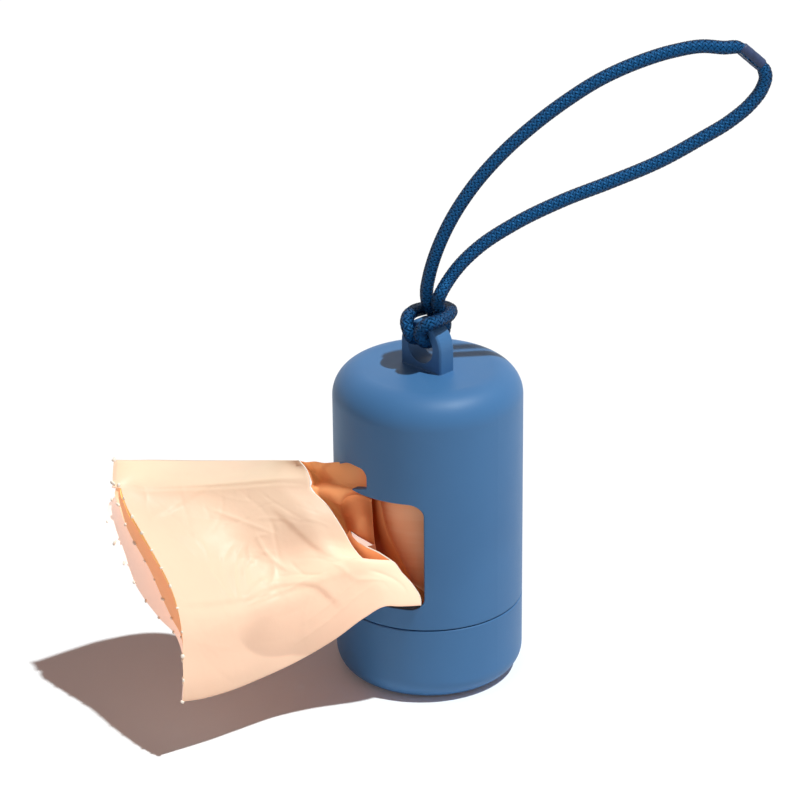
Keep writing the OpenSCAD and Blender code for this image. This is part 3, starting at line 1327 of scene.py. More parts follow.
@dataclass(frozen=True)
class Crease:
    """A crease in the film, between two places given as (u, v).

    U runs from the fold at the window to the torn edge and V from the upper edge to the lower.
    """

    start: Span
    end: Span
    height_mm: float
    width: float = 0.018
    kind: Fold = Fold.RIDGE
    bow: float = 0.0

    def relief(self, u: Points, v: Points) -> Points:
        """The crease's height in metres at each (u, v).

        Args:
            u: Places from the fold to the torn edge.
            v: Places from the upper edge to the lower.

        Returns:
            One height per place.
        """
        a, b = np.array(self.start), np.array(self.end)
        size = float(np.hypot(*(b - a)))
        heading = (b - a) / size
        share = ((u - a[0]) * heading[0] + (v - a[1]) * heading[1]) / size
        aside = -(u - a[0]) * heading[1] + (v - a[1]) * heading[0]
        aside = (aside - self.bow * size * 4 * share * (1 - share)) / self.width
        if self.kind is Fold.RIDGE:
            profile = np.exp(-np.abs(aside))
        else:
            profile = np.tanh(aside) * np.exp(-np.abs(aside) / STEP_SPREAD)
        return self.height_mm * MM * profile * within(share, FADE, FADE)


@dataclass(frozen=True)
class Crumple:
    """Random creases strewn over a sheet, denser and deeper in its middle."""

    count: int = 60
    centres: Span = (0.1, 0.9)
    half_lengths: Span = (0.05, 0.17)
    heights_mm: Span = (0.05, 0.17)
    widths: Span = (0.005, 0.011)
    bows: Span = (-0.2, 0.2)
    # How strongly they gather in the middle, and their least share of height
    focus: float = 8.0
    least: float = 0.3

    def relief(self, u: Points, v: Points, seed: int) -> Points:
        """The height of all creases together.

        Args:
            u: Places along the sheet.
            v: Places across it.
            seed: The seed of the creases.

        Returns:
            The height in metres at each place.
        """
        rng = np.random.default_rng(seed)
        total = np.zeros_like(u)
        for _ in range(self.count):
            centre = rng.uniform(*self.centres, 2)
            angle, reach = rng.uniform(0, math.pi), rng.uniform(*self.half_lengths)
            step = np.array([math.cos(angle), math.sin(angle)]) * reach
            weight = math.exp(-self.focus * float(np.sum((centre - 0.5) ** 2)))
            height = rng.choice((-1, 1)) * rng.uniform(*self.heights_mm)
            height *= self.least + weight
            width, bow = rng.uniform(*self.widths), rng.uniform(*self.bows)
            crease = Crease(
                tuple(centre - step), tuple(centre + step), height, width, Fold.RIDGE, bow
            )
            total += crease.relief(u, v)
        return total


@dataclass(frozen=True)
class Gather:
    """One fold of the drawn film.

    Its points are in millimetres, each row from the fold outside the window inwards to the roll.
    """

    rows: int
    columns: int
    crumple: float
    # Painted glow over the whole fold, by emission
    glow: float
    points: tuple[tuple[Point, ...], ...]
    # Places with painted glow or, with a minus, painted shade: (row, column, reach, reach, amount)
    tones: tuple[tuple[float, float, float, float, float], ...] = ()
    # Painted shade over the whole fold, and the share of the pale painted-light tone
    shade: float = 0.0
    pink: float = 0.0
    most_glow: float = 3.0
    # Its crumpling fades in over these spans from its ends and from its two sides
    calm_ends: Span = (0, 0.08)
    calm_sides: tuple[Span, Span] = ((0, 0.1), (0, 0.12))

    def grid(self) -> Points:
        """A smooth grid of points through those given.

        Returns:
            The grid in metres, row by row.
        """
        control = mm(self.points)
        down = spline_weights(self.rows, control.shape[0])
        across = spline_weights(self.columns, control.shape[1])
        return np.einsum("ab,bcd,ec->aed", down, control, across)

    def toned(self, us: Points, vs: Points) -> tuple[Points, Points]:
        """How much painted glow and painted shade each point has.

        Args:
            us: Each point's place across the rows, from 0 to 1.
            vs: Each point's place along its row.

        Returns:
            The painted glow and the painted shade.
        """
        down, across = us * (len(self.points) - 1), vs * (len(self.points[0]) - 1)
        glow, shade = np.full_like(down, self.glow), np.full_like(down, self.shade)
        for row, column, tall, wide, amount in self.tones:
            near = np.exp(-(((down - row) / tall) ** 2) - ((across - column) / wide) ** 2)
            glow += max(amount, 0) * near
            shade += max(-amount, 0) * near
        return np.clip(glow, 0, self.most_glow), np.clip(shade, 0, 1)


# The throat's tones paint light on its ridges and shade in its valleys and next to the roll
THROAT = Gather(rows=150, columns=120, crumple=0.35, glow=0.1, points=(
    ((-16.8, -26.1, 57), (-15.1, -25.7, 57), (-14.1, -23.7, 56.8), (-12.3, -22.5, 56.6),
     (-10.2, -21.6, 57.1), (-8, -19.8, 57.3), (-5.7, -17.9, 57.6), (-2.8, -17.3, 58.6),
     (-1.4, -17.4, 58.6), (0.2, -17.5, 58.6)),
    ((-15.9, -25.8, 55.9), (-15.8, -24.4, 55), (-14.3, -23.8, 55), (-13.1, -22.7, 55.2),
     (-11, -22.2, 55.8), (-7.9, -19.9, 56), (-5.6, -18, 56.1), (-2.8, -17.3, 56.7),
     (-1.4, -17.4, 56.6), (0.2, -17.5, 56.6)),
    ((-14.6, -25.8, 55), (-15.4, -23.8, 53.6), (-14.7, -22.8, 53.3), (-13.2, -22.3, 54.2),
     (-11, -22.2, 54.7), (-7.8, -20.1, 54.7), (-5.5, -18.2, 54.7), (-2.8, -17.3, 55),
     (-1.4, -17.4, 55), (0.2, -17.5, 55)),
    ((-12.9, -26.1, 52.8), (-14.2, -23.7, 52), (-13.8, -22.5, 52.1), (-11.9, -22, 52.8),
     (-9.4, -21.8, 53.1), (-7.1, -20.1, 52.9), (-5, -18.3, 52.8), (-2.8, -17.3, 52.9),
     (-1.4, -17.4, 52.6), (0.2, -17.6, 52.5)),
    ((-12.4, -26.8, 52), (-13.2, -24.4, 51.4), (-12.5, -23.1, 51.7), (-10.3, -22.6, 52.2),
     (-8.5, -21.8, 52.1), (-6.5, -20.1, 51.9), (-4.7, -18.6, 51.7), (-2.7, -17.4, 51.6),
     (-2, -17.5, 51), (-1.5, -17.6, 50.5)),
    ((-12, -26.9, 51.6), (-11.1, -25.8, 51.6), (-9.6, -24.4, 51.7), (-7.8, -22.7, 51.4),
     (-6.3, -21, 51.1), (-5.1, -19.9, 51), (-3.8, -18.8, 50.9), (-2.4, -17.8, 50.8),
     (-3, -17.7, 50), (-4, -17.7, 49)),
    ((-10.9, -26.8, 50.6), (-10.3, -25.3, 49.7), (-9.3, -23.7, 48.8), (-7.2, -22.8, 48),
     (-5.6, -22.4, 49.6), (-4.2, -21.8, 50.6), (-2.1, -20.9, 51.2), (1.2, -20.4, 51),
     (-1.3, -19.4, 49.7), (-4.9, -18.1, 47.8)),
    ((-9.2, -26.8, 49.7), (-9.7, -24.3, 48.1), (-9.1, -22.6, 46.9), (-7.7, -21.7, 46.8),
     (-5.8, -21.5, 48.2), (-4.1, -21.2, 49.3), (-1.9, -20.8, 49.9), (1.3, -20.5, 50.1),
     (-1.3, -19.3, 48.7), (-4.9, -18.1, 46.8)),
    ((-7.6, -26.5, 48.6), (-8.8, -23.6, 46.1), (-8.6, -21.8, 44.8), (-7.3, -21.2, 44.6),
     (-5.2, -21.2, 45.4), (-2.9, -21.2, 46.4), (-1, -20.7, 47.2), (1.5, -20.5, 47.7),
     (-1.2, -19.2, 46.1), (-5, -18.1, 44.2)),
    ((-4.7, -26.4, 46), (-6.5, -23.3, 43.7), (-6.5, -21.8, 42.8), (-4.8, -21.8, 43.4),
     (-2.8, -21.9, 44.4), (-1.3, -21.5, 45.1), (0.1, -21, 45.3), (1.7, -20.6, 45.3),
     (-1, -19.3, 43.8), (-5, -18.2, 41.8)),
    ((-2.7, -26.1, 43.6), (-5, -23.4, 41.8), (-5, -22.3, 41.3), (-3.4, -22.7, 42.2),
     (-1.8, -22.6, 42.8), (-0.5, -22, 43.1), (0.8, -21.4, 43), (2.1, -20.8, 42.9),
     (-0.8, -19.4, 41.3), (-5, -18.2, 39.1)),
    ((-1.6, -25.9, 41.9), (-3.8, -23.7, 41), (-4.1, -22.7, 41), (-3.1, -23, 42),
     (-1.3, -22.7, 41.4), (0.1, -22.1, 40.8), (1.2, -21.5, 40.2), (2.4, -20.9, 39.8),
     (-0.4, -19.6, 38.6), (-5, -18.2, 36.8)),
    ((-0.6, -25.6, 40.4), (-4.3, -22.6, 39.7), (-5.2, -21.4, 39.9), (-4.6, -21.1, 40.8),
     (-3.2, -20.6, 40.4), (-2, -20, 39.9), (-1.1, -19.4, 39.3), (-0.4, -19, 38.8),
     (-2, -18.6, 38.1), (-5, -18.2, 37)),
), tones=(
    (0.4, 2.5, 0.8, 1.2, 0.6), (2.2, 1.2, 1.6, 1.0, -0.4), (2.0, 5.4, 2.4, 2.2, 0.75),
    (5.0, 1.4, 0.7, 1.6, 1.9), (5.3, 3.8, 0.5, 1.8, 1.5), (6.1, 2.6, 0.6, 1.0, 0.6),
    (8.2, 1.4, 2.2, 1.3, -0.45), (6.6, 4.6, 0.8, 0.9, 0.6), (9.2, 4.8, 1.6, 1.0, 0.9),
    (8.4, 6.7, 2.6, 0.7, -0.5), (11.0, 5.0, 0.45, 3.0, -0.55), (11.6, 0.2, 3.0, 0.5, -0.5),
))
# The pouch has a painted glow all over, with painted shade low down
POUCH = Gather(rows=36, columns=60, crumple=0.1, glow=1.0, points=(
    ((-2.1, -24.5, 43.1), (-0.9, -24.5, 41.9), (0.5, -24.3, 41), (2.6, -23.8, 40.2),
     (4, -23.2, 39.7), (5.4, -22.7, 39.3), (7.2, -22.1, 38.5), (9, -21.8, 37.9)),
    ((-2.7, -24.8, 41.6), (-1.4, -24.4, 40.1), (0.1, -24.1, 39.1), (1.8, -23.7, 38.4),
     (3.4, -23.2, 38), (5.1, -22.5, 37.8), (6.8, -21.9, 37.5), (8.9, -21.6, 37.4)),
    ((-3.1, -24.7, 39.5), (-2, -24.1, 37.9), (-0.5, -23.8, 36.7), (1.1, -23.5, 35.6),
     (3, -23, 35), (4.9, -22.2, 35.2), (6.6, -21.7, 35.8), (8.6, -21.3, 36.4)),
    ((-2.5, -25.8, 42.4), (-1.1, -25.5, 40.3), (0.3, -25.2, 38.6), (1.8, -25, 37.4),
     (3.3, -24.7, 36.7), (5, -24.1, 36.6), (6.9, -23.1, 36.8), (8.9, -22, 37.5)),
), tones=((1.2, 1.4, 0.5, 1.6, -0.35), (2.0, 3.0, 0.8, 4.0, -0.5), (0.3, 4.0, 0.4, 3.0, 0.5)))
# The flake's bright top is a painted highlight, by a strong glow and the pale tone
FLAKE = Gather(rows=16, columns=24, crumple=0.05, glow=2.2, points=(
    ((-1.5, -24.5, 43), (0.7, -24.4, 42.4), (2.6, -23.9, 41.8), (4.5, -23.4, 41.1)),
    ((-1.3, -24.6, 42.5), (0.4, -24.5, 41.6), (1.9, -24.1, 40.9), (3.3, -23.8, 40.6)),
    ((-1, -24.6, 41.9), (0.3, -24.5, 41.1), (1.4, -24.2, 40.6), (2.6, -23.9, 40.2)),
), pink=1.0)
UNDERSIDE = Gather(rows=60, columns=30, crumple=0.15, glow=0.0, points=(
    ((0.9, -24.7, 37.3), (2.6, -22.4, 33.2), (4.4, -19.6, 31), (5.6, -16.6, 30.2)),
    ((6.2, -23.4, 36.8), (6.2, -21, 32.8), (6.8, -18.6, 30.6), (7.4, -15.8, 29.6)),
    ((9, -21.9, 37.8), (8.6, -20, 33.2), (8.9, -18, 30.6), (9.2, -14.8, 29.2)),
    ((11.1, -20.4, 34.8), (10.6, -18.6, 30.6), (10.8, -16.6, 28.6), (11.2, -13.5, 27.6)),
    ((13, -18.6, 31.4), (12.2, -17, 28), (12.2, -15.4, 26.8), (12.5, -12.3, 26.2)),
    ((14, -17.5, 27.8), (13.2, -16, 26.4), (13, -14.6, 26), (13.2, -11.6, 25.8)),
))
# A sheet painted dark as the shade in the gap between the gathered film and the roll
GAP_SHADE = Gather(rows=40, columns=20, crumple=0.0, glow=0.0, points=(
    ((-0.5, -18.9, 53), (0.3, -18.9, 53), (0.9, -18.9, 53), (1.5, -18.8, 53)),
    ((-0.3, -18.9, 50), (0.7, -18.9, 50), (1.7, -18.9, 50), (2.6, -18.7, 50)),
    ((0, -18.9, 46), (1.1, -18.9, 46), (2.3, -18.8, 46), (3.5, -18.6, 46)),
    ((0.3, -18.9, 42), (1.8, -18.9, 42), (3.3, -18.6, 42), (4.8, -18.3, 42)),
    ((0.8, -18.9, 38), (2.8, -18.7, 38), (4.8, -18.3, 38), (6.8, -17.6, 38)),
    ((2.5, -18.8, 33), (4.8, -18.3, 33), (7, -17.6, 33), (9, -16.6, 33)),
    ((4, -18.5, 28), (6.6, -17.7, 28), (8.8, -16.7, 28), (10.6, -15.6, 28)),
), tones=((3.0, 0.0, 12.0, 1.9, -1.0),), shade=0.22)


@dataclass(frozen=True)
class DrawnFilm:
    """The gathered film between the roll and the fold outside the window, with its painted glow and
    painted shade.
    """

    folds: tuple[Gather, ...] = (THROAT, POUCH, FLAKE, UNDERSIDE, GAP_SHADE)
    crumple: Crumple = Crumple()
    first_seed: int = 3

    def build(self, film: Material) -> Piece:
        """Makes all of its folds as one piece.

        Args:
            film: The finish of gathered film.

        Returns:
            The piece.
        """
        parts, shares = [], []
        for seed, fold in enumerate(self.folds, self.first_seed):
            ends = (np.linspace(0, 1, fold.rows), np.linspace(0, 1, fold.columns))
            us, vs = np.meshgrid(*ends, indexing="ij")
            held = within(vs, *fold.calm_sides) * within(us, fold.calm_ends, fold.calm_ends)
            grid = fold.grid()
            lift = fold.crumple * self.crumple.relief(us, vs, seed) * held
            grid = grid + scaled(lift, normals_of(grid))
            parts.append((grid.reshape(-1, 3), grid_faces(fold.rows, fold.columns)))
            shares.append([s.ravel() for s in (*fold.toned(us, vs), np.full_like(us, fold.pink))])
        piece = mesh_piece("drawn_film", *joined(parts), film)
        for name, values in zip(("lit_through", "shade", "pink"), zip(*shares)):
            set_share(piece, name, np.concatenate(values))
        return piece


@dataclass(frozen=True)
class BagTones:
    """Where the leading bag's film is rosy, and where it has a painted pale tone, painted shade or a
    painted glow.
    """

    strip_share: float
    # Painted shade in a patch by the lower edge, where the film lies double: its corner, the way in,
    # and its shade
    doubled_corner: Span = (0.72, 0.75)
    doubled_way: Span = (-0.73, -0.69)
    doubled_shade: float = 0.2
    doubled_bulge: float = 0.03
    doubled_length: float = 0.26
    doubled_start: Span = (0, 0.012)
    doubled_fade: Span = (0.02, 0.26)
    doubled_left: float = 0.1
    doubled_top: Span = (-0.01, 0.09)
    # Rosy tones of the upper layer: its lower part, the strip's tip and the part below the strip
    low_tone: float = 0.75
    low_from: Span = (0.60, 0.72)
    low_slant: float = 0.1
    low_pivot: float = 0.7
    tip_tone: float = 0.9
    tip_from: Span = (0.955, 0.975)
    strip_tone: float = 0.45
    strip_fade: float = 0.2
    # Painted glow, standing in for light through the film: the corner by the window and the bared
    # part of the lower layer
    corner_glow: float = 1.3
    corner_u: Span = (0.2, 0.7)
    corner_v: Span = (0.4, 0.65)
    bared_glow: float = 1.4
    bared_from: Span = (0.7, 0.85)

    def doubled(self, u: Points, v: Points) -> Points:
        """The painted shade of the patch by the lower edge where the film lies double.

        Args:
            u: Places from the fold to the torn edge.
            v: Places from the upper edge to the lower.

        Returns:
            The share of painted shade at each place.
        """
        u, v = u - self.doubled_corner[0], v - self.doubled_corner[1]
        inside = u * self.doubled_way[0] + v * self.doubled_way[1]
        down = u * self.doubled_way[1] - v * self.doubled_way[0]
        bulge = np.sin(math.pi * np.clip(down / self.doubled_length, 0, 1))
        inside = inside + self.doubled_bulge * bulge
        fading = 1 - (1 - self.doubled_left) * smoothstep(*self.doubled_fade, inside)
        patch = smoothstep(*self.doubled_start, inside) * fading
        return self.doubled_shade * patch * smoothstep(*self.doubled_top, down)

    def rosiness(self, u: Points, v: Points) -> Points:
        """The share of the rosy tone at each place of the upper layer.

        Args:
            u: Places from the fold to the torn edge.
            v: Places from the upper edge to the lower.

        Returns:
            One share per place.
        """
        low = v + self.low_slant * (u - self.low_pivot)
        parts = (
            self.low_tone * smoothstep(*self.low_from, low),
            self.tip_tone * smoothstep(*self.tip_from, u) * (v < self.strip_share),
            self.strip_tone * smoothstep(self.strip_share, self.strip_fade, v) + 0 * u,
        )
        return np.maximum.reduce(parts)

    def shares(self, u: Points, v: Points, below: Points) -> dict[str, tuple[Points, Points]]:
        """What the film's finish reads at each point of the two layers.

        Args:
            u: Places from the fold to the torn edge, as a column.
            v: Places from the upper edge to the lower, as a row.
            below: A grid of ones, one for each point of the lower layer.

        Returns:
            The upper layer's and the lower layer's numbers, by name.
        """
        bared = smoothstep(*self.bared_from, u) * below
        corner = (1 - smoothstep(*self.corner_u, u)) * smoothstep(*self.corner_v, v)
        return {
            "rosy": (self.rosiness(u, v), below),
            # Painted glow, the pale painted-light tone of the bared lower layer, and painted shade
            "lit_through": (self.corner_glow * corner, self.bared_glow * bared),
            "pink": (0 * corner, bared),
            "shade": (self.doubled(u, v), 0 * below),
        }


@dataclass(frozen=True)
class TornEdge:
    """What shows along the torn edge: the tuck, the turned margin and the torn tabs."""

    # A tuck inside the pocket shows between the two layers
    tuck_edge: tuple[Point, ...] = (
        (-43.5, -59.3, 53.5), (-43.9, -59.9, 52.6), (-40.5, -61.6, 48.5), (-36, -63, 44.6),
        (-31.5, -63.9, 41.6), (-27.2, -64.7, 38.6), (-22.2, -66.1, 34.6), (-17, -67.5, 30.8),
        (-13.6, -68.2, 28.4), (-10.6, -70.2, 23.5), (-8.6, -72.2, 19.2),
    )
    # The tuck leaves the pocket's middle at a share of its length and keeps off its sides
    tuck_start: float = 0.5
    tuck_margin: float = 0.12
    tuck_power: float = 2.5
    tuck_glow: float = 0.8
    # The turned margin: its run along the torn edge and along the tuck's, and its width
    turned_samples: int = 160
    turned_run: Span = (0.12, 0.78)
    turned_towards: Span = (0.02, 0.82)
    turned_width: float = 0.0011
    turned_power: float = 0.35
    turned_waves: float = 41.0
    turned_unevenness: float = 0.2
    turned_drops: Span = (0.0003, 0.0001)
    # Torn tabs: how far apart they are, their size, and their least and greatest scale
    tab_spacing: float = 0.0052
    tab_size: float = 0.00042
    tab_least: Point = (0.5, 0.6, 0.5)
    tab_greatest: Point = (1.3, 1.9, 1.1)
    tab_turn: Point = (3.0, 3.0, 3.0)
    tab_seed: int = 11

    def tuck(self, front: Points, back: Points, film: Material) -> tuple[Piece, Points]:
        """Makes the tuck inside the pocket, which shows as a strip along the torn edge.

        Args:
            front: The upper layer.
            back: The lower layer.
            film: The film's finish.

        Returns:
            The piece and its torn edge.
        """
        rows, columns = front.shape[:2]
        start, margin = int(rows * self.tuck_start), int(columns * self.tuck_margin)
        middle = (0.5 * (front + back))[start:, margin:-margin]
        rows, columns = middle.shape[:2]
        edge = curve_through(mm(self.tuck_edge), np.linspace(0, 1, columns))
        weight = np.linspace(0, 1, rows)[:, None] ** self.tuck_power
        sheet = middle + scaled(weight, edge - middle[-1])
        piece = mesh_piece("tuck_film", sheet.reshape(-1, 3), grid_faces(rows, columns), film)
        # A painted glow over the whole tuck
        set_share(piece, "lit_through", np.full(rows * columns, self.tuck_glow))
        return piece, sheet[-1]

    def turned_edge(self, front: Points, beyond: Points, film: Material) -> Piece:
        """Makes the narrow turned-under margin of the upper layer's torn edge.

        Args:
            front: The upper layer's torn edge.
            beyond: The tuck's torn edge, towards which the margin points.
            film: The film's finish.

        Returns:
            The piece.
        """
        count = self.turned_samples
        share = np.linspace(0, 1, count)
        edge = curve_through(front, np.linspace(*self.turned_run, count))
        target = curve_through(beyond, np.linspace(*self.turned_towards, count))
        uneven = 1 + self.turned_unevenness * (np.sin(self.turned_waves * share) - 1)
        width = self.turned_width * np.sin(math.pi * share) ** self.turned_power * uneven
        outer = edge + scaled(width, unit(target - edge))
        inner = edge - (0, 0, self.turned_drops[0])
        between = 0.5 * (inner + outer) - (0, 0, self.turned_drops[1])
        grid = np.stack([inner, between, outer], axis=1)
        piece = mesh_piece("turned_edge", grid.reshape(-1, 3), grid_faces(count, 3), film)
        # A painted glow over the whole turned margin
        set_share(piece, "lit_through", np.ones(count * 3))
        return piece

    def tabs(self, edges: Sequence[Points], material: Material) -> Piece:
        """Makes the torn tabs left by the perforation, along the torn edges.

        Args:
            edges: The torn edges.
            material: The finish of stretched film.

        Returns:
            One piece with every tab.
        """
        tree = NodeTree("torn_tabs")
        spacing = tree.number("Spacing", self.tab_spacing)
        size = tree.number("Size", self.tab_size)
        even = tree.node("GeometryNodeResampleCurve", {"Curve": tree.edges()})
        set_choice(even, "mode", "Length")
        tree.feed(even.inputs["Length"], spacing)
        blob = tree.node("GeometryNodeMeshIcoSphere", {"Subdivisions": 2, "Radius": size})
        spans = ((self.tab_least, self.tab_greatest), ((0.0, 0.0, 0.0), self.tab_turn))
        vary, turn = (
            tree.node(
                "FunctionNodeRandomValue",
                {"Min": least, "Max": greatest, "Seed": self.tab_seed + step},
                data_type="FLOAT_VECTOR",
            ).outputs[0]
            for step, (least, greatest) in enumerate(spans)
        )
        feeds = {"Points": even.outputs["Curve"], "Instance": blob.outputs["Mesh"]}
        spots = tree.node("GeometryNodeInstanceOnPoints", {**feeds, "Scale": vary, "Rotation": turn})
        tree.end_with(spots.outputs["Instances"], material)
        return tree.applied(polylines("edges", edges), "torn_tabs")


@dataclass
class PulledBag:
    """The leading bag: two layers folded flat, drawn out through the window and torn off."""

    rows: int = 130
    columns: int = 150
    # How much closer the grid's lines lie towards its edges, in u and v
    bunching: Span = (0.5, 0.35)
    lip: float = 0.00028
    lip_width: float = 0.02
    merge_within: float = 0.00001
    # The outline of the upper layer, in millimetres
    upper_edge: tuple[Point, ...] = (
        (-17.2, -26.4, 57.1), (-26.7, -36, 57.4), (-36.6, -45.9, 57.6), (-46.6, -56.1, 57.9),
    )
    fold_line: tuple[Point, ...] = (
        (-16.9, -26.3, 57.1), (-14.7, -26, 55.4), (-12.9, -26.4, 53.3), (-12, -27.1, 51.5),
        (-10.6, -26.9, 50.5), (-7.6, -26.4, 48.7), (-4.6, -26.4, 46.2), (-2.2, -26, 43.1),
        (-0.4, -25.5, 40.1), (0.8, -25.2, 38.7), (2.1, -25.1, 37.8), (3.4, -24.8, 37.2),
        (4.7, -24.4, 37), (6.3, -23.7, 37.1), (7.7, -22.9, 37.5), (9.1, -22.1, 38),
        (11.2, -20.5, 34.9), (13.1, -18.7, 31.5), (14.1, -17.5, 28), (14.2, -17.6, 26.5),
    )
    # The upper edge sags away behind the strip along it
    sagging_edge: tuple[Point, ...] = (
        (-16.9, -26.3, 57.1), (-22.4, -25.8, 55.2), (-29.5, -25, 52.7), (-36.8, -26.5, 50.8),
        (-40.4, -29.3, 50.6), (-42.9, -33.1, 51.1), (-44.5, -37.4, 52.1), (-45.6, -41.2, 53.1),
        (-46.1, -46.5, 54.8), (-46.4, -51.1, 56.2), (-46.6, -56.1, 57.9),
    )
    lower_edge: tuple[Point, ...] = (
        (14.2, -17.6, 26.5), (13.6, -20.2, 27.1), (12.6, -22.9, 27.7), (10.9, -26.1, 28.3),
        (8, -29.8, 25.8), (3.7, -35.3, 20.7), (-0.8, -43.8, 16.3), (-2.9, -52.8, 14.9),
        (-4.6, -61.4, 14.3), (-6.5, -69.5, 14.6), (-7.4, -73.9, 15.4),
    )
    torn_edge: tuple[Point, ...] = (
        (-46.6, -56.1, 57.9), (-43.6, -58.8, 53.6), (-39.0, -61.3, 50.4), (-33.1, -63.3, 47.9),
        (-28.0, -65.0, 46.0), (-21.7, -66.9, 43.0), (-16.3, -68.8, 40.5), (-11.5, -70.6, 36.1),
        (-9.1, -71.8, 31.7), (-7.9, -73.0, 25.2), (-7.1, -73.8, 19), (-7.4, -73.9, 15.4),
    )
    # The lower layer hangs open at its torn edge
    hanging_edge: tuple[Point, ...] = (
        (-46.6, -56.1, 57.9), (-43.6, -59.2, 53.4), (-43.6, -60.6, 51.2), (-44.3, -62.1, 49.3),
        (-43.4, -63.6, 46.6), (-40.8, -64.7, 43.9), (-35.9, -66, 40.1), (-31.2, -67.1, 36.6),
        (-25.9, -68, 33.2), (-19.8, -68.6, 30.2), (-14.2, -68.9, 27.9), (-11.4, -69.6, 24),
        (-9.2, -71.6, 19.8), (-7.4, -73.9, 15.4),
    )
    # How far the middle of the bag sinks away from the sheet that its edges span
    sinking: Point = (-2.4, 2.4, -1.6)
    # The upper edge is a doubled strip, torn a little longer
    strip_share: float = 0.105
    strip_extra: float = 0.00175
    creases: tuple[Crease, ...] = (
        Crease((-0.1, 0.135), (1.12, 0.105), -0.16, 0.006),
        Crease((-0.1, 0.15), (1.12, 0.12), 0.08, 0.010),
        Crease((0.92, 0.27), (0.46, 0.09), 0.16, 0.009, Fold.STEP),
        Crease((0.94, 0.13), (0.72, 0.04), 0.10, 0.008),
        Crease((0.80, 0.24), (0.40, 0.33), -0.10, 0.010),
        Crease((1.12, 0.66), (0.10, 0.80), 0.22, 0.010, Fold.STEP, 0.05),
        Crease((0.72, 0.70), (0.30, 0.92), 0.42, 0.014, Fold.STEP, 0.32),
        Crease((0.71, 0.69), (0.50, 0.40), 0.30, 0.009, Fold.RIDGE, 0.12),
        Crease((0.71, 0.69), (0.60, 0.46), -0.24, 0.008),
        Crease((0.71, 0.70), (0.42, 0.50), 0.30, 0.009, Fold.RIDGE, -0.15),
        Crease((0.72, 0.70), (0.36, 0.68), 0.26, 0.008),
        Crease((0.74, 0.69), (0.78, 0.46), 0.20, 0.007),
        Crease((0.73, 0.68), (0.68, 0.42), -0.18, 0.007),
        Crease((0.70, 0.70), (0.50, 0.60), 0.22, 0.007, Fold.RIDGE, 0.1),
        Crease((0.55, 0.48), (0.36, 0.40), 0.28, 0.010, Fold.RIDGE, 0.2),
        Crease((0.50, 0.62), (0.30, 0.72), -0.28, 0.010, Fold.RIDGE, 0.2),
        Crease((0.44, 0.36), (0.38, 0.62), 0.26, 0.010, Fold.RIDGE, -0.12),
        Crease((0.60, 0.22), (0.32, 0.42), 0.24, 0.009),
        Crease((0.62, 0.33), (0.40, 0.30), -0.16, 0.009),
        Crease((0.30, 0.25), (0.16, 0.62), 0.30, 0.018, Fold.STEP),
        Crease((0.16, 0.78), (0.05, 0.94), -0.34, 0.016, Fold.RIDGE, 0.25),
        Crease((0.20, 0.62), (0.08, 0.86), 0.26, 0.012, Fold.RIDGE, -0.3),
        Crease((0.97, 0.30), (0.86, 0.86), 0.05, 0.012, Fold.STEP, -0.06),
        Crease((0.55, 0.92), (0.12, 0.86), 0.20, 0.008),
        Crease((0.50, 0.86), (0.16, 0.80), 0.18, 0.007),
    )
    crumple: Crumple = Crumple()
    crumple_seeds: tuple[int, int] = (5, 8)
    # Creases fade in over these spans from the edges, in u and v
    calm_u: Span = (0, 0.08)
    calm_v: Span = (0, 0.06)
    # How high the upper layer swells, and how much of that the lower one goes down
    swell: float = 0.0009
    swell_reach: float = 1.15
    swell_below: float = 0.3
    sink_reach: float = 0.9
    # What the lower layer takes over from the upper one's creases and strip
    shared_creases: float = 0.6
    shared_strip: float = 0.92
    # Where the lower layer's sag ends in v, and where the strip grows longer in u
    sag_below: float = 0.22
    strip_from: Span = (0.7, 1)
    # How far apart the layers stay at the least, at the lip and within these spans
    apart_lip: float = 0.0003
    apart_middle: float = 0.0005
    apart_u: Span = (0.02, 0.2)
    apart_v: Span = (0.01, 0.08)
    rim_radius: float = 0.00017
    rim_sides: int = 8
    rim_samples: int = 40
    rim_from: float = 0.2

    def patch(self, u: Points, v: Points, torn: tuple[Point, ...]) -> Points:
        """A smooth sheet spanned between its four edges.

        Args:
            u: Places from the fold to the torn edge.
            v: Places from the upper edge to the lower.
            torn: The torn edge.

        Returns:
            A grid of points, rows along u.
        """
        top = curve_through(mm(self.upper_edge), u)[:, None]
        low = curve_through(mm(self.lower_edge), u)[:, None]
        fold = curve_through(mm(self.fold_line), v)[None]
        end = curve_through(mm(torn), v)[None]
        us, vs = u[:, None, None], v[None, :, None]
        corners = (
            (1 - us) * (1 - vs) * fold[0, 0] + us * (1 - vs) * end[0, 0]
            + (1 - us) * vs * fold[0, -1] + us * vs * end[0, -1]
        )
        return (1 - vs) * top + vs * low + (1 - us) * fold + us * end - corners

    def spanned(self, u: Points, v: Points, us: Points, vs: Points) -> tuple[Points, Points]:
        """The two layers as smooth sheets, sunk in the middle and sagging behind the strip.

        Args:
            u: Places from the fold to the torn edge.
            v: Places from the upper edge to the lower.
            us: The place in u of each point of the grid.
            vs: Its place in v.

        Returns:
            The upper and the lower sheet.
        """
        sunk = np.sin(self.sink_reach * math.pi * us) * np.sin(math.pi * vs)
        sag = curve_through(mm(self.sagging_edge), u) - curve_through(mm(self.upper_edge), u)
        behind_strip = np.clip(1 - vs / self.strip_share, 0, 1)
        behind = 1 - smoothstep(0, self.sag_below, vs)
        return tuple(
            self.patch(u, v, torn) + scaled(sunk, mm(self.sinking)) + scaled(share, sag[:, None])
            for torn, share in ((self.torn_edge, behind_strip), (self.hanging_edge, behind))
        )

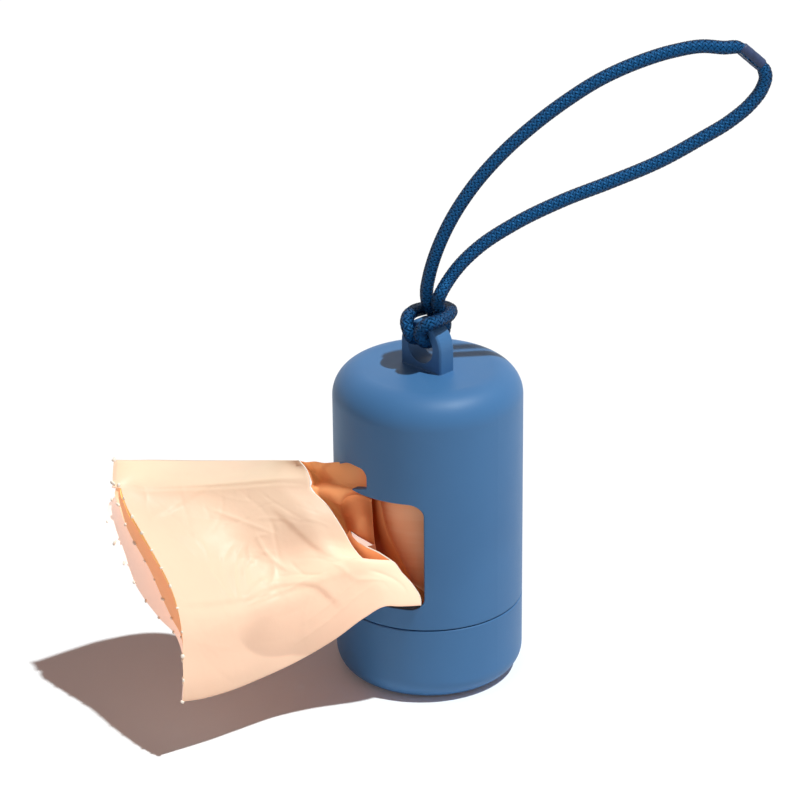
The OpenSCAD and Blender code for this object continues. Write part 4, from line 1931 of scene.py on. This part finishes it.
    def layers(self) -> tuple[Points, Points]:
        """The upper and the lower layer as grids of points.

        Returns:
            The two grids, rows along u.
        """
        u, v = (bunched(*pair) for pair in zip((self.rows, self.columns), self.bunching))
        us, vs = np.meshgrid(u, v, indexing="ij")
        up = normals_of(self.patch(u, v, self.torn_edge))
        front, back = self.spanned(u, v, us, vs)
        rim = np.minimum(np.minimum(us, vs), 1 - vs) / self.lip_width
        rim = np.sqrt(1 - (1 - np.clip(rim, 0, 1)) ** 2)
        held = smoothstep(*self.calm_u, us) * within(vs, self.calm_v, self.calm_v)
        pressed = sum(c.relief(us, vs) for c in self.creases)
        high, low = (self.crumple.relief(us, vs, seed) for seed in self.crumple_seeds)
        high = (pressed + high) * held
        low = (self.shared_creases * pressed + low) * held
        bulge = np.sin(math.pi * np.clip(us * self.swell_reach, 0, 1))
        swell = self.swell * np.sin(math.pi * vs) ** 2 * bulge
        longer = self.strip_extra * smoothstep(*self.strip_from, us) * (vs < self.strip_share)
        tip = scaled(longer, unit(front[-1] - front[-4])[None])
        front = front + tip + scaled(high + swell + self.lip * rim, up)
        back = back + self.shared_strip * tip
        back = back + scaled(low - self.lip * rim - self.swell_below * swell, up)
        apart = smoothstep(*self.apart_u, us) * within(vs, self.apart_v, self.apart_v)
        clear = np.einsum("ijk,ijk->ij", front - back, up)
        least = self.apart_lip * rim + self.apart_middle * apart
        return front, back - scaled(np.maximum(0, least - clear), up)

    def pocket(self, film: Material) -> tuple[Piece, Points, Points]:
        """Makes the two layers as one pocket, open at the torn edge.

        Args:
            film: The film's finish.

        Returns:
            The piece and its two layers.
        """
        front, back = self.layers()
        ring = np.concatenate([front, back[:, -2:0:-1]], axis=1)
        around = ring.shape[1]
        faces = grid_faces(self.rows, around, wrap=True)
        piece = mesh_piece("pulled_bag_film", ring.reshape(-1, 3), faces, film)
        u = np.linspace(0, 1, self.rows)[:, None]
        v = np.linspace(0, 1, self.columns)[None]
        below = np.ones((self.rows, around - self.columns))
        for name, sides in BagTones(self.strip_share).shares(u, v, below).items():
            set_share(piece, name, np.concatenate(sides, axis=1))
        merged(piece, self.merge_within)
        return piece, front, back

    def rims(self, lines: Sequence[Points], material: Material) -> Piece:
        """Makes the rounded rims where the film is folded over, seen as bright lines, partly by
        their shape and partly by a painted highlight in their paler finish.

        Args:
            lines: The lines that they follow.
            material: The finish of stretched film.

        Returns:
            One piece with every rim.
        """
        tree = NodeTree("folded_rims")
        radius = tree.number("Radius", self.rim_radius)
        sides = tree.number("Sides", self.rim_sides, whole=True)
        feeds = {"Resolution": sides, "Radius": radius}
        ring = tree.node("GeometryNodeCurvePrimitiveCircle", feeds)
        tree.end_with(tree.swept(tree.edges(), ring.outputs["Curve"]), material)
        return tree.applied(polylines("rims", lines), "folded_rims")

    def build(self) -> None:
        """Makes the bag's pieces."""
        film, gathered = BagFilm().build(), GATHERED_FILM.build()
        stretched = StretchedFilm().build()
        pocket, front, back = self.pocket(film)
        settle(pocket, Body.BAG, Slot.FILM, "pulled_bag")
        torn = TornEdge()
        tuck, tuck_edge = torn.tuck(front, back, TUCKED_FILM.build())
        turned = torn.turned_edge(front[-1], tuck_edge, EDGE_FILM.build())
        tabs = torn.tabs([front[-1], back[-1], tuck_edge], stretched)
        fold = front[0] * 0.5 + back[0] * 0.5
        places = np.linspace(self.rim_from, 1, self.rim_samples)
        rims = self.rims([fold, curve_through(mm(POUCH.points[0]), places)], stretched)
        for piece in (tuck, turned, tabs, rims):
            settle(piece, Body.BAG, Slot.FILM)
        drawn = DrawnFilm().build(gathered)
        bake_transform(drawn)
        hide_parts("film_lead")
        LOG.info("bag: %d and %d faces", len(pocket.data.polygons), len(drawn.data.polygons))


# ---------------------------------------------------------------- roll


@dataclass
class Roll:
    """The wound bags on their card core."""

    turns: float = 12.0
    steps_per_turn: int = 64
    film_stack: float = 0.00080
    # Where the spiral's middle starts and ends, in stacks from the core and from the outside
    seat: Span = (0.6, 0.5)
    end_angle: float = -17.0
    sharp_angle: float = 40.0

    def wound(self, material: Material) -> Piece:
        """Makes the wound film as one spiral strip, as tall as the roll.

        Args:
            material: Its finish.

        Returns:
            The piece.
        """
        low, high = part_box("bag_roll")
        inner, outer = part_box("roll_core")[1].x, high.x
        tree = NodeTree("wound_film")
        turns = tree.number("Turns", self.turns)
        first = tree.number("Inner radius", inner + self.film_stack * self.seat[0])
        last = tree.number("Outer radius", outer - self.film_stack * self.seat[1])
        stack = tree.number("Stack", self.film_stack)
        height = tree.number("Height", high.z - low.z)
        spiral = tree.node("GeometryNodeCurveSpiral", {
            "Resolution": self.steps_per_turn, "Rotations": turns, "Height": 0.0,
            "Start Radius": first, "End Radius": last,
        })
        feeds = {"Width": stack, "Height": height}
        strip = tree.node("GeometryNodeCurvePrimitiveQuadrilateral", feeds)
        place = tree.node("GeometryNodeTransform", {
            "Geometry": tree.swept(spiral.outputs["Curve"], strip.outputs["Curve"]),
            "Translation": (0, 0, (low.z + high.z) / 2),
            "Rotation": (0, 0, math.radians(self.end_angle - 90)),
        })
        tree.end_with(place.outputs["Geometry"], material)
        piece = tree.applied(placed("spiral", bpy.data.meshes.new("spiral")), "wound_film")
        recalculated(piece)
        sharpen(piece, self.sharp_angle)
        return piece

    def build(self) -> None:
        """Makes the wound film and dresses the core."""
        roll = self.wound(WoundFilm().build())
        settle(roll, Body.ROLL, Slot.WOUND, "bag_roll")
        dress(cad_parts["roll_core"], CoreCard().build())


def main() -> None:
    """Builds the studio and every piece."""
    logging.basicConfig(level=logging.INFO, format="%(name)s: %(message)s")
    for group in (Studio(), CordLoop(), PulledBag(), Roll()):
        group.build()
    plastic = MouldedPlastic().build()
    for node in ("body_shell", "base_cap"):
        dress(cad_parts[node], plastic)


if __name__ == "__main__":
    main()
